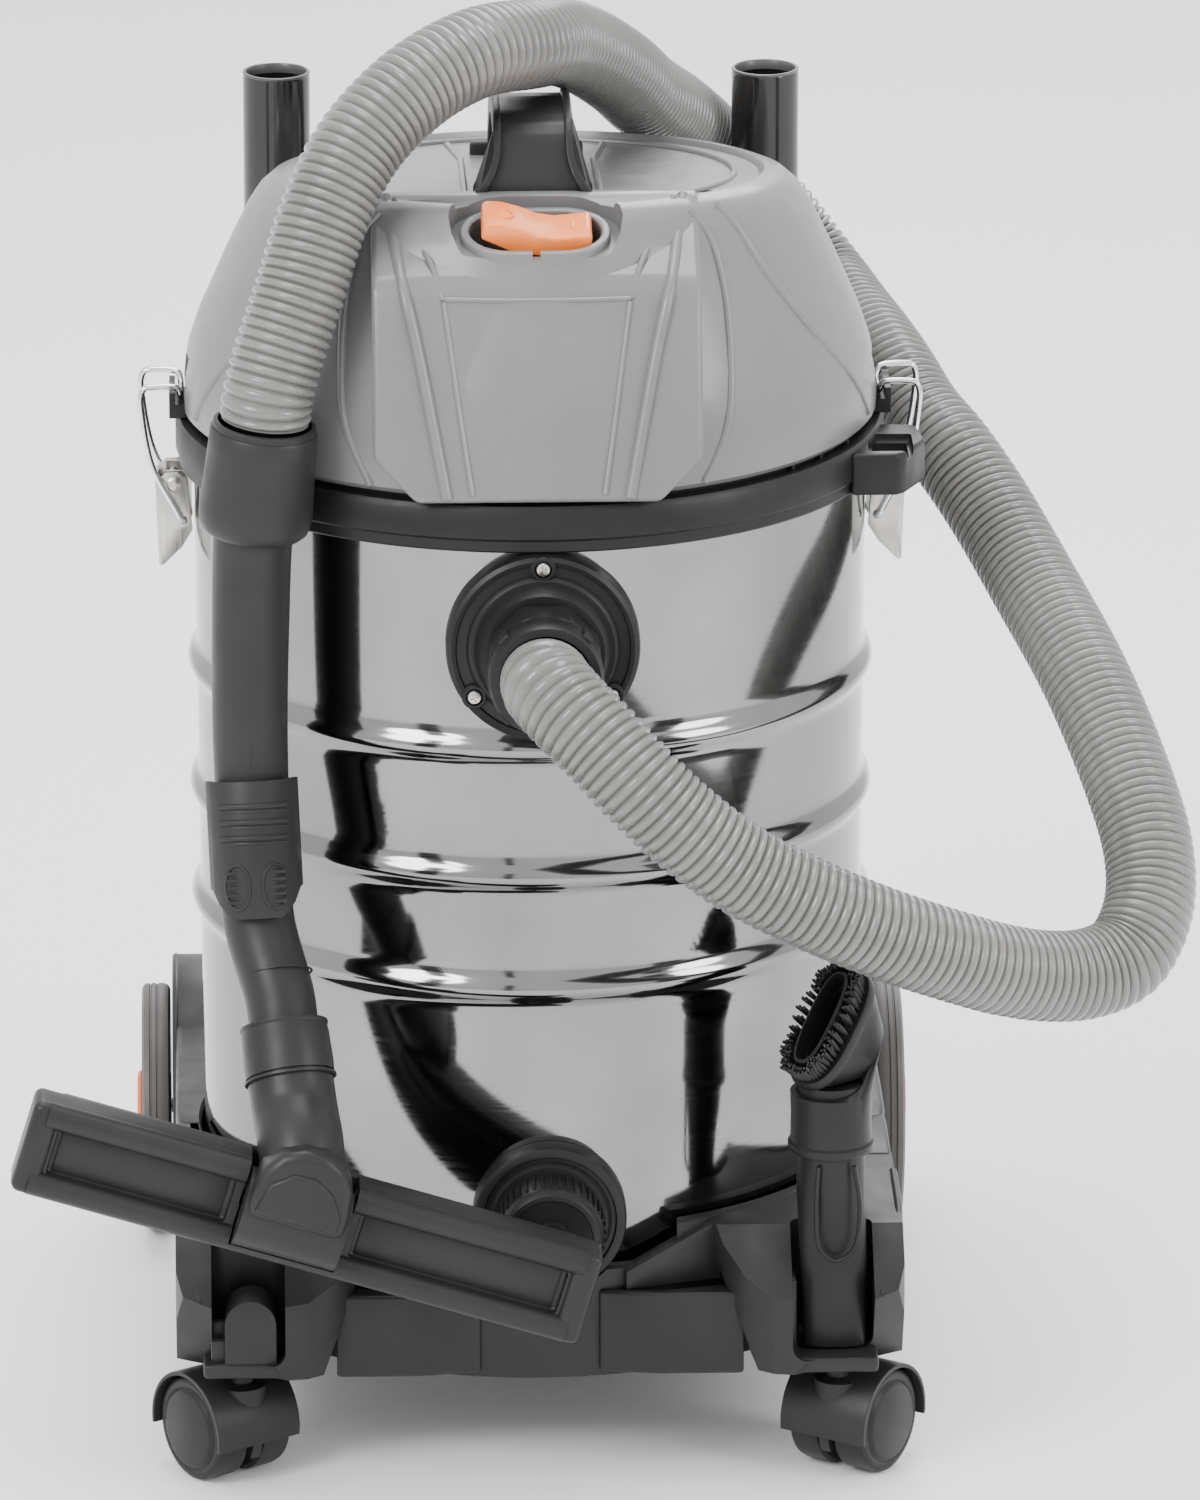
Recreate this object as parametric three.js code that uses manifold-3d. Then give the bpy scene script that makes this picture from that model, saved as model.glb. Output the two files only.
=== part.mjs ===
// Wet-and-dry drum vacuum cleaner: latched motor head, stainless drum, suction hose with hand tube and floor
// nozzle, and a trolley that stores the tools. Millimetres, +Z up, the front faces -Y. Everything is laid out
// round the drum's axis, and the whole is then moved so that the origin lies under the middle of its box.
import * as THREE from "three";
import { mergeVertices } from "three/addons/utils/BufferGeometryUtils.js";
import Module from "manifold-3d";

const wasm = await Module();
wasm.setup();

// Driving dimensions.
const DRUM_AXIS = { x: 29.85, y: 1.6 };
const GAP = 0.4;
const ROUND = 32;
const DRUM = { floor: 96, rim: 506, bottomRadius: 169.5, topRadius: 172, wall: 2 };
const BEAD = { heights: [258, 317.5, 385], rise: 4.5, half: 12 };
const BAND = { inner: 173, outer: 181, bottom: 490, top: 514 };
const PLATE = { radius: 171.8, bottom: 508, top: 513 };
const DOME = { bottom: 516, wall: 3, slope: 0.1, top: 641 };
const POD = { y: -122, z: 639.5, tilt: THREE.MathUtils.degToRad(14), halfWidth: 37, halfDepth: 24 };
const EAR = { foot: 515, top: 528, middle: 178, thickness: 12, width: 34 };
const LATCH = { pivot: [182, 479], wire: [177, 460], bar: [178, 525], cheek: 13.4, wireRadius: 1.5 };
const INLET = { x: 2, z: 441, radius: 48.6, bore: 23 };
const COLLAR = { back: -195, mouth: -236.4, radius: 29 };
const DRAIN = { x: 5, z: 138, radius: 39, notch: 40 };
const HOSE_RADIUS = 23;
const TUBE = { radius: 17.5, wall: 1.6, x: 127.5, y: 170, bottom: 140, top: 649 };
const WHEEL = { y: 205, z: 66, radius: 66, inner: 188.5, outer: 204 };
const ARCH = { radius: 82, foot: 50, from: 180, to: 45, steps: 14, inner: 164, outer: 187.6 };
const CASTER = { x: 152, y: -178, trail: 14, radius: 27, hood: 30.3, half: 24, axle: 3, turn: 55 };
const TRAY = { inner: 171.5, outer: 181, bottom: 52, deck: 90, seat: 95.6, rim: 111, shoulder: 131 };
const FOOT = { bottom: 62, step: 104, wellFloor: 70 };
const NOZZLE = { centre: [-118, -245, 165], tilt: THREE.MathUtils.degToRad(17), half: 148, width: 24.5 };

const FINISH = {
  grey: { color: 0x9b9b9d, roughness: 0.45, metalness: 0 },
  black: { color: 0x2a2a2c, roughness: 0.45, metalness: 0 },
  charcoal: { color: 0x3c3c3f, roughness: 0.5, metalness: 0 },
  gloss: { color: 0x1c1a1a, roughness: 0.2, metalness: 0 },
  steel: { color: 0xc9cacb, roughness: 0.12, metalness: 1 },
  satin: { color: 0xb4b0ab, roughness: 0.35, metalness: 1 },
  orange: { color: 0xff8430, roughness: 0.4, metalness: 0 },
  hose: { color: 0xc4c3c0, roughness: 0.45, metalness: 0 },
  rubber: { color: 0x232323, roughness: 0.8, metalness: 0 },
  tread: { color: 0x55504c, roughness: 0.7, metalness: 0 },
  bristle: { color: 0x161616, roughness: 0.9, metalness: 0 },
  paper: { color: 0xe6e1d4, roughness: 0.9, metalness: 0 },
  white: { color: 0xdedede, roughness: 0.5, metalness: 0 },
};

const machine = new THREE.Group();

// A closed geometry as a solid whose faces point out.
function solid(geometry) {
  const bare = geometry.clone();
  bare.deleteAttribute("normal");
  bare.deleteAttribute("uv");
  const merged = mergeVertices(bare, 1e-4);
  const index = merged.index.array;
  const corners = [];
  for (let i = 0; i < index.length; i += 3) {
    const [a, b, c] = [index[i], index[i + 1], index[i + 2]];
    if (a !== b && b !== c && c !== a) corners.push(a, b, c);
  }
  const build = (triVerts) =>
    new wasm.Manifold(
      new wasm.Mesh({ numProp: 3, vertProperties: merged.attributes.position.array, triVerts }),
    );
  const made = build(new Uint32Array(corners));
  if (made.volume() > 0) return made;
  return build(new Uint32Array(corners.reverse()));
}

// Hangs a solid in the machine as one named mesh.
function add(name, made, finish) {
  const mesh = made.getMesh();
  const count = mesh.numProp;
  const places = new Float32Array(mesh.numVert * 3);
  for (let i = 0; i < mesh.numVert; i++) {
    places.set(mesh.vertProperties.subarray(i * count, i * count + 3), i * 3);
  }
  const geometry = new THREE.BufferGeometry();
  geometry.setAttribute("position", new THREE.BufferAttribute(places, 3));
  geometry.setIndex(new THREE.BufferAttribute(new Uint32Array(mesh.triVerts), 1));
  const part = new THREE.Mesh(geometry, new THREE.MeshStandardMaterial(FINISH[finish]));
  part.name = name;
  machine.add(part);
}

const union = (...parts) => parts.reduce((a, b) => a.add(b));
const vec = (p) => new THREE.Vector3(...p);
const block = (w, d, h, x, y, z) => solid(new THREE.BoxGeometry(w, d, h).translate(x, y, z));

// A regular polygon that stands for a circle, as points of a shape.
function circle(radius, sides, squash = 1) {
  const points = [];
  for (let i = 0; i < sides; i++) {
    const a = (2 * Math.PI * (i + 0.5)) / sides;
    points.push(new THREE.Vector2(radius * Math.cos(a), radius * squash * Math.sin(a)));
  }
  return points;
}

// A solid turned about the Z axis from [radius, height] points, closed on itself when it misses the axis.
function turned(points, sides = ROUND) {
  const outline = points.map(([r, z]) => new THREE.Vector2(r, z));
  if (points[0][0] > 0) outline.push(outline[0].clone());
  return new THREE.LatheGeometry(outline, sides).rotateX(Math.PI / 2);
}

// A turned solid whose axis starts at a point and runs in a direction.
function turnedOn(points, start, direction, sides = ROUND) {
  const turn = new THREE.Quaternion().setFromUnitVectors(
    new THREE.Vector3(0, 0, 1),
    vec(direction).normalize(),
  );
  return solid(turned(points, sides).applyQuaternion(turn).translate(...start));
}

const rod = (radius, length, start, direction, sides = 16) =>
  turnedOn([[0, 0], [radius, 0], [radius, length], [0, length]], start, direction, sides);

function extruded(outline, depth, holes = []) {
  const shape = new THREE.Shape(outline.map((p) => (p.isVector2 ? p : new THREE.Vector2(...p))));
  shape.holes = holes.map((h) => new THREE.Path(h));
  return new THREE.ExtrudeGeometry(shape, { depth, bevelEnabled: false });
}

// Prisms: an XY outline raised along Z, a YZ outline carried along X, and an XZ outline carried towards -Y.
const prismZ = (outline, low, high, holes) =>
  solid(extruded(outline, high - low, holes).translate(0, 0, low));
const prismX = (outline, low, high) =>
  solid(
    extruded(outline, high - low)
      .applyMatrix4(new THREE.Matrix4().set(0, 0, 1, low, 1, 0, 0, 0, 0, 1, 0, 0, 0, 0, 0, 1)),
  );
const prismY = (outline, back, front, holes) =>
  solid(extruded(outline, back - front, holes).rotateX(Math.PI / 2).translate(0, back, 0));

// A round bar or pipe along a smooth curve.
function bar(points, radius, sides, steps, bore = 0) {
  const shape = new THREE.Shape(circle(radius, sides));
  if (bore) shape.holes = [new THREE.Path(circle(bore, sides))];
  const path = new THREE.CatmullRomCurve3(points.map(vec), false, "centripetal");
  return solid(
    new THREE.ExtrudeGeometry(shape, { steps, bevelEnabled: false, extrudePath: path }),
  );
}

// A closed skin over rings of points, each ring having as many points as the next.
function loft(rings) {
  const sides = rings[0].length;
  const places = [];
  const faces = [];
  for (const ring of rings) for (const p of ring) places.push(p.x, p.y, p.z);
  for (let r = 0; r + 1 < rings.length; r++) {
    for (let i = 0; i < sides; i++) {
      const a = r * sides + i;
      const b = r * sides + ((i + 1) % sides);
      faces.push(a, b, b + sides, a, b + sides, a + sides);
    }
  }
  for (let i = 1; i + 1 < sides; i++) {
    const last = (rings.length - 1) * sides;
    faces.push(0, i + 1, i, last, last + i, last + i + 1);
  }
  const geometry = new THREE.BufferGeometry();
  geometry.setAttribute("position", new THREE.Float32BufferAttribute(places, 3));
  geometry.setIndex(faces);
  return solid(geometry);
}

// An oval ring of points about a centre, in the plane of two directions.
function oval(centre, across, along, sides = 20) {
  return circle(1, sides).map((p) =>
    vec(centre).addScaledVector(vec(across), p.x).addScaledVector(vec(along), p.y),
  );
}

// ---- drum ----
const drumRadius = (z) =>
  DRUM.bottomRadius +
  ((DRUM.topRadius - DRUM.bottomRadius) * (z - DRUM.floor)) / (DRUM.rim - DRUM.floor);

// The drum's outer profile from floor to rim, beads included, moved out by a clearance.
function drumProfile(out) {
  const points = [[drumRadius(DRUM.floor) + out, DRUM.floor - out]];
  for (const z of BEAD.heights) {
    for (const [dz, rise] of [[-BEAD.half, 0], [0, 1], [BEAD.half, 0]]) {
      points.push([drumRadius(z + dz) + out + rise * BEAD.rise, z + dz]);
    }
  }
  points.push([drumRadius(DRUM.rim) + out, DRUM.rim]);
  return points;
}

const drumClear = solid(turned([[0, DRUM.floor - GAP], ...drumProfile(GAP), [0, DRUM.rim]]));
const inletHole = rod(27, 60, [INLET.x, -140, INLET.z], [0, -1, 0], 24);
const drainHole = rod(20, 60, [DRAIN.x, -140, DRAIN.z], [0, -1, 0], 20);

function drum() {
  const inside = DRUM.wall;
  const wall = solid(
    turned([
      [0, DRUM.floor],
      ...drumProfile(0),
      [DRUM.topRadius - inside, DRUM.rim],
      [DRUM.bottomRadius - inside, DRUM.floor + inside],
      [0, DRUM.floor + inside],
    ]),
  );
  add("drum", wall.subtract(inletHole).subtract(drainHole), "steel");
}

function rimBand() {
  const ring = solid(
    turned([
      [BAND.inner, BAND.bottom],
      [BAND.outer, BAND.bottom],
      [BAND.outer, BAND.top],
      [BAND.inner, BAND.top],
    ], 40),
  );
  const lug = prismZ(
    [[150, -84], [187, -84], [199, -56], [196, -28], [165, -26]], BAND.bottom, BAND.top - 3,
  );
  const hole = block(19, 26, 60, 181, -62, BAND.top);
  const core = rod(BAND.inner, 80, [0, 0, BAND.bottom - 20], [0, 0, 1], 40);
  add("rim_band", union(ring, lug.subtract(core)).subtract(hole), "black");
}

function inlet() {
  const disc = turnedOn(
    [[INLET.bore, 0], [INLET.radius, 0], [INLET.radius, 18], [36, 20], [36, 24], [32, 28], [INLET.bore, 28]],
    [INLET.x, -165, INLET.z], [0, -1, 0],
  ).subtract(drumClear);
  const neck = turnedOn(
    [[INLET.bore, 0], [25.6, 0], [25.6, 26], [INLET.bore, 26]], [INLET.x, -150, INLET.z], [0, -1, 0], 24,
  );
  let flange = union(disc, neck);
  const places = [90, 215, 325].map((d) => THREE.MathUtils.degToRad(d));
  places.forEach((a, i) => {
    const at = [INLET.x + 42 * Math.cos(a), -175.5, INLET.z + 42 * Math.sin(a)];
    const seat = rod(4.3, 20, [at[0], -182.8, at[2]], [0, -1, 0], 10);
    flange = flange.subtract(rod(2.4, 30, at, [0, -1, 0], 8)).subtract(seat);
    const screw = turnedOn(
      [[0, 0.3], [1.9, 0.3], [1.9, 7.7], [3.8, 7.7], [3.8, 10], [0, 10]], at, [0, -1, 0], 10,
    );
    add(`inlet_screw_${i + 1}`, screw, "satin");
  });
  add("inlet_flange", flange, "black");
  const cup = turnedOn(
    [[0, 3], [22.6, 3], [22.6, 40], [25.6, 40], [25.6, 0], [0, 0]],
    [INLET.x, -149.5 + 40, INLET.z], [0, -1, 0], 20,
  );
  const chute = block(60, 30, 30, INLET.x, -128, INLET.z - 25);
  add("inlet_deflector", cup.subtract(chute), "black");
}

function drain() {
  const flange = turnedOn(
    [[17, 0], [DRAIN.radius, 0], [DRAIN.radius, 15], [34, 18], [22, 18], [22, 27], [17, 27]],
    [DRAIN.x, -166, DRAIN.z], [0, -1, 0],
  ).subtract(drumClear);
  const cap = turnedOn(
    [[0, 10.5], [22.8, 10.5], [22.8, 0], [28, 0], [28, 22], [25, 26], [0, 26]],
    [DRAIN.x, -185, DRAIN.z], [0, -1, 0], 24,
  );
  add("drain_flange", flange, "black");
  add("drain_cap", cap, "black");
}

// ---- motor head ----
// The dome's outer profile from its lower edge to the top; each skin of the dome is it moved in.
const domeProfile = (inset) => [
  [177 - inset, DOME.bottom],
  [177 - inset, 538],
  [166 - inset, 573],
  [148 - inset, 612],
  [136 - inset, 633 - inset * 0.6],
  [127 - inset, DOME.top - inset],
];

// The roof falls to the rear, more the higher it is.
function lean(geometry) {
  const places = geometry.attributes.position;
  for (let i = 0; i < places.count; i++) {
    const height = (places.getZ(i) - DOME.bottom) / (DOME.top - DOME.bottom);
    places.setZ(i, places.getZ(i) - DOME.slope * places.getY(i) * height);
  }
  return geometry;
}

// One skin of the dome: turned body, its front cut back to a flat panel, and the panel's own wedge.
function domeSkin(inset) {
  const body = solid(lean(turned([[0, DOME.bottom], ...domeProfile(inset), [0, DOME.top - inset]], 30)));
  const front = [[-92 + inset, 652 - inset], [-149 + inset, 619 - inset * 0.6], [-182 + inset, DOME.bottom]];
  const flare = [[-44 + inset, 500], [44 - inset, 500], [75 - inset, 660], [-75 + inset, 660]];
  const panel = prismY(flare, -40, -200);
  const cut = prismX([...front, [-182, 500], [-260, 500], [-260, 700], [-92, 700]], -90, 90);
  const wedge = prismX([...front, [-60, DOME.bottom], [-60, 645 - inset]], -90, 90).intersect(panel);
  return union(body.subtract(cut.intersect(panel)), wedge);
}

const domeOuter = domeSkin(0);
const domeShell = domeOuter.subtract(domeSkin(DOME.wall));
const podTurn = new THREE.Matrix4()
  .makeTranslation(0, POD.y, POD.z)
  .multiply(new THREE.Matrix4().makeRotationX(POD.tilt));
const inPod = (geometry) => solid(geometry.applyMatrix4(podTurn));
const podOval = (dx, low, high) => {
  const straight = POD.halfWidth - POD.halfDepth;
  const ends = circle(POD.halfDepth - dx, 20).map((p) =>
    new THREE.Vector2(p.x + Math.sign(p.x) * straight, p.y),
  );
  return inPod(extruded(ends, high - low).translate(0, 0, low));
};

function headCover() {
  const ledge = 530;
  const vent = (grow) => block(100 + grow, 90, 36 + grow, 0, 165, 551);
  let cover = domeShell;
  cover = union(cover, podOval(0, -22, 0).intersect(union(domeOuter, podOval(0, -16, 0))));
  cover = cover.subtract(podOval(4, -60, 20));
  cover = cover.subtract(inPod(new THREE.BoxGeometry(4, 34, 60).translate(0, -20, -20)));
  cover = cover.subtract(vent(0));
  for (const side of [-1, 1]) cover = cover.subtract(block(30, 40, 62, side * 186.4, 0, ledge - 14));
  cover = cover.subtract(rod(9, 80, [88, 120, 536], [0, 1, 0], 16));
  add("head_cover", cover, "grey");
  let grille = domeShell.intersect(vent(-2 * GAP));
  for (let x = -42; x <= 42; x += 12) grille = grille.subtract(block(5, 90, 26, x, 165, 551));
  add("exhaust_grille", grille, "black");
  add("cord_gland", rod(8.2, 34, [88, 146, 536], [0, 1, 0], 16), "black");
}

function headBase() {
  const plate = solid(
    turned([
      [58, PLATE.bottom], [160, PLATE.bottom], [160, 496], [165, 496], [165, PLATE.bottom],
      [PLATE.radius, PLATE.bottom], [PLATE.radius, PLATE.top],
      [70, PLATE.top], [70, 540], [66.5, 540], [66.5, PLATE.top], [58, PLATE.top],
    ]),
  );
  const notch = [LATCH.bar[0] - 4.5, LATCH.bar[0] + 3];
  let base = plate;
  for (const side of [-1, 1]) {
    const arm = block(24, 34, 9, side * 172, 0, 519.2);
    const root = block(8, 34, 8, side * 164, 0, 516);
    const rise = EAR.top - EAR.foot;
    const ear = block(EAR.thickness, EAR.width, rise, side * EAR.middle, 0, EAR.foot + rise / 2);
    const slot = block(
      notch[1] - notch[0], 60, 20, (side * (notch[0] + notch[1])) / 2, 0, LATCH.bar[1] - 3 + 10,
    );
    base = union(base, root, union(arm, ear).subtract(slot));
  }
  add("head_base", base, "black");
  const seal = [[166, 506.3], [171.5, 506.3], [171.5, 507.6], [166, 507.6]];
  add("head_gasket", solid(turned(seal)), "rubber");
}

// Carry handle: an arch over the roof with a wide foot at each end, cut to sit on the roof.
function carryHandle() {
  const arch = [
    [-90, 640], [-90, 656], [-74, 680], [-62, 686.5], [-25, 686.5], [20, 677], [48, 662], [72, 632],
    [72, 620], [56, 620], [50, 640], [38, 652], [18, 665], [-20, 674.5], [-54, 674.5], [-62, 670],
    [-72, 652], [-72, 640],
  ];
  const feet = [[-90, 640], [-90, 656], [-72, 662], [-72, 640]];
  const heel = [[56, 620], [56, 642], [72, 642], [72, 620]];
  const handle = union(prismX(arch, -20, 20), prismX(feet, -29, 29), prismX(heel, -29, 29));
  const roof = solid(
    lean(turned([[0, DOME.bottom], ...domeProfile(0), [0, DOME.top]], 30)).translate(0, 0, GAP),
  );
  add("carry_handle", handle.subtract(roof).subtract(domeOuter.translate(0, 0, GAP)), "charcoal");
}

// Rocker switch: its paddle rests with the left end up and tips about an axis that runs front to back.
function rockerSwitch() {
  const rest = THREE.MathUtils.degToRad(7);
  const paddle = extruded([[-27.5, 8], [0, 4], [27.5, 8], [27.5, 0], [0, -7], [-27.5, 0]], 25)
    .rotateX(Math.PI / 2)
    .translate(0, 12.5, 0)
    .rotateY(rest);
  add("switch_rocker", inPod(paddle), "orange");
  add("switch_housing", inPod(new THREE.BoxGeometry(50, 22, 16).translate(0, 0, -21)), "black");
}

function motorAndFilter() {
  add("motor", solid(turned([[9, 546], [60, 546], [60, 590], [46, 612], [9, 612]], 24)), "satin");
  add(
    "impeller",
    solid(turned([[0, 522], [56, 522], [56, 538], [6, 542], [6, 609], [0, 609]], 24)),
    "satin",
  );
  const cage = solid(
    turned([
      [0, 425], [56, 425], [56, 507.6], [15, 507.6], [15, 504], [53, 504], [53, 428], [0, 428],
    ], 24),
  );
  const windows = union(block(140, 26, 50, 0, 0, 464), block(26, 140, 50, 0, 0, 464));
  add("float_cage", cage.subtract(windows), "black");
  add("float_ball", solid(new THREE.SphereGeometry(22, 16, 10).translate(0, 0, 451)), "white");
  const pleats = [];
  for (let i = 0; i < 72; i++) {
    const a = (2 * Math.PI * i) / 72;
    const r = i % 2 ? 76 : 83;
    pleats.push(new THREE.Vector2(r * Math.cos(a), r * Math.sin(a)));
  }
  add("filter_cartridge", prismZ(pleats, 412, 507.4, [circle(62, 36)]), "paper");
}

// ---- latches ----
// A latch seen from the side as [outward, z] points; the cheeks and the plate that joins them are one piece.
function latch(side, word) {
  const [po, pz] = LATCH.pivot;
  const [wo, wz] = LATCH.wire;
  const outline = [
    [po - 6, pz + 1], [po - 3, pz + 6], [po + 3, pz + 6], [po + 10, pz + 1], [po + 8, 437],
    [po + 5, 437], [po - 9, 454], [po - 8, 468],
  ];
  const hole = (o, z, r) => circle(r, 8).map((p) => new THREE.Vector2(o + p.x, z + p.y));
  const spine = [[po + 8.4, pz + 1], [po + 10, pz + 1], [po + 8, 437], [po + 6.4, 437]];
  const cheek = LATCH.cheek;
  const holes = [hole(po, pz, 2.6), hole(wo, wz, 2.8)];
  const plate = union(
    prismY(outline, cheek + 1.4, cheek, holes),
    prismY(outline, -cheek, -cheek - 1.4, holes),
    prismY(spine, cheek + 0.7, -cheek - 0.7),
  );
  const mirror = (made) => (side > 0 ? made : made.mirror([1, 0, 0]));
  add(`latch_lever_${word}`, mirror(plate), "satin");
  add(`latch_pin_${word}`, mirror(rod(2, 32, [po, -16, pz], [0, 1, 0], 12)), "satin");
  let bracket = union(
    block(1.6, 20, 24, 173.9, 0, 472),
    block(13, 1.6, 13, 179.5, 9.6, pz - 0.4),
    block(13, 1.6, 13, 179.5, -9.6, pz - 0.4),
  );
  bracket = bracket.subtract(rod(2.5, 32, [po, -16, pz], [0, 1, 0], 12));
  add(`latch_bracket_${word}`, mirror(bracket.subtract(drumClear)), "satin");
  const [bo, bz] = LATCH.bar;
  const half = [
    [wo, 12.2, wz], [wo, 15.6, wz], [wo + 3, 17.2, wz + 3], [wo + 15, 17.4, wz + 26],
    [wo + 21.5, 17.4, wz + 62], [wo + 21.5, 17, wz + 69], [wo + 17, 16.6, wz + 71.5],
    [bo + 3.4, 15.6, wz + 71], [bo + 0.3, 14.6, bz + 3.6],
    [bo, 12.6, bz], [bo, 6, bz],
  ];
  const back = half.map(([o, y, z]) => [o, -y, z]).reverse();
  add(`latch_bail_${word}`, mirror(bar([...half, ...back], LATCH.wireRadius, 6, 40)), "steel");
}

// ---- hose and hand set ----
const HOSE_ROUTE = [
  [2, -236.9, 441], [2, -243, 441], [6, -251, 438], [16, -261, 429.5], [29, -269, 418], [46, -277, 401],
  [67, -281, 381],
  [96, -281, 358], [136, -276, 335], [171, -266, 317], [200, -254, 303], [228, -240, 290],
  [254, -225, 281], [276, -211, 278], [293, -199, 282], [303, -186, 293.5], [308, -170, 307.5],
  [307.5, -150, 325.5], [300, -120, 349], [282, -66, 386], [259.5, -8, 418], [237, 40, 449],
  [219.5, 68, 469.5], [205, 92, 482], [194.5, 116, 495], [184.5, 144, 504.5], [173.5, 178, 512],
  [163, 206, 521], [150, 219, 536],
  [135, 222, 555], [116, 219, 577], [97, 203, 601], [79, 172, 624], [63, 134, 644], [50, 100, 664],
  [28, 42, 692], [13, 6, 705.5], [-1, -30, 713], [-30, -66, 717],
  [-60, -91, 706], [-88, -113, 682], [-105, -130, 652], [-118, -145, 615], [-129, -155, 584],
  [-134, -159.3, 566], [-135.4, -159.1, 554.6],
];
const CUFF = { bottom: [-141.5, -155.5, 497], axis: [6, -3.5, 57], length: 57 };
const WAND_END = { rim: [-129, -204, 252], axis: [5, -22, -36] };

const along = (start, direction, distance) =>
  vec(start).addScaledVector(vec(direction).normalize(), distance).toArray();

function hoseSet() {
  add("hose", bar(HOSE_ROUTE, HOSE_RADIUS, 8, 56), "hose");
  const reach = COLLAR.back - COLLAR.mouth;
  const collar = turnedOn(
    [[19, -22], [22.3, -22], [22.3, 0], [COLLAR.radius, 0], [COLLAR.radius, reach], [19, reach]],
    [INLET.x, COLLAR.back, INLET.z], [0, -1, 0], 16,
  );
  add("hose_collar", collar, "black");
  const cuff = turnedOn(
    [[19.4, 0], [24.4, 0], [26, 4], [28, CUFF.length - 4], [27, CUFF.length], [19.4, CUFF.length]],
    CUFF.bottom, CUFF.axis, 24,
  );
  add("hose_cuff", cuff, "charcoal");
  const wand = [
    along(CUFF.bottom, CUFF.axis, 25), along(CUFF.bottom, CUFF.axis, 5), along(CUFF.bottom, CUFF.axis, -12),
    [-143.5, -154.5, 450], [-144.3, -155, 406], [-144.3, -155.8, 384], [-143.8, -158.3, 366],
    [-142.3, -166.4, 332], [-140.8, -174.6, 298],
    along(WAND_END.rim, WAND_END.axis, -14), WAND_END.rim, along(WAND_END.rim, WAND_END.axis, 27),
  ];
  add("hand_tube", bar(wand, 18, 12, 16, 16), "black");
  const axis = [3, -16.3, -68];
  const start = [-143.8, -158.8, 364.5];
  const sleeve = turnedOn([[21, 0], [23.6, 0], [23.6, 66], [21, 66]], start, axis, 24);
  add("air_slider", sleeve.subtract(block(80, 30, 120, -144, -139, 331)), "charcoal");
}

// Floor nozzle: its own directions are long (left to right, sloping), up (across the head) and -Y (out).
function nozzle() {
  const c = Math.cos(NOZZLE.tilt);
  const s = Math.sin(NOZZLE.tilt);
  const turn = new THREE.Matrix4()
    .makeTranslation(...NOZZLE.centre)
    .multiply(new THREE.Matrix4().makeRotationY(NOZZLE.tilt));
  const place = (geometry) => solid(geometry.applyMatrix4(turn));
  const cube = (w, d, h, x, y, z) => place(new THREE.BoxGeometry(w, d, h).translate(x, y, z));
  const barrelY = -9;
  const roll = (r, length) =>
    place(new THREE.CylinderGeometry(r, r, length, 24).rotateZ(Math.PI / 2).translate(-8, barrelY, 0));
  const w = NOZZLE.width;
  const section = [[-13, -w + 3], [-13, w - 3], [-9, w], [14, w], [14, -w], [-9, -w]];
  const body = extruded(section, 2 * NOZZLE.half)
    .applyMatrix4(new THREE.Matrix4().set(0, 0, 1, -NOZZLE.half, 1, 0, 0, 0, 0, 1, 0, 0, 0, 0, 0, 1));
  const head = place(body)
    .subtract(roll(20.8, 54))
    .subtract(cube(56, 60, 40, -8, 0, 20));
  add("nozzle_head", head, "charcoal");
  const strip = (z) => cube(260, 7.5, 5, 0, 18.1, z);
  add("nozzle_bristles_upper", strip(14), "bristle");
  add("nozzle_bristles_lower", strip(-14), "bristle");
  const root = [NOZZLE.centre[0] - 8 * c, NOZZLE.centre[1] + barrelY, NOZZLE.centre[2] + 8 * s];
  const rise = (d) => [root[0] + d * s, root[1], root[2] + d * c];
  const neck = bar(
    [rise(4), rise(20), [-121, -243, 202], [-124, -226, 216], WAND_END.rim], 21, 16, 8,
  );
  const socket = rod(18.8, 60, along(WAND_END.rim, WAND_END.axis, 28), WAND_END.axis.map((v) => -v), 16);
  add("nozzle_neck", union(roll(20, 52), neck).subtract(socket), "charcoal");
}

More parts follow.
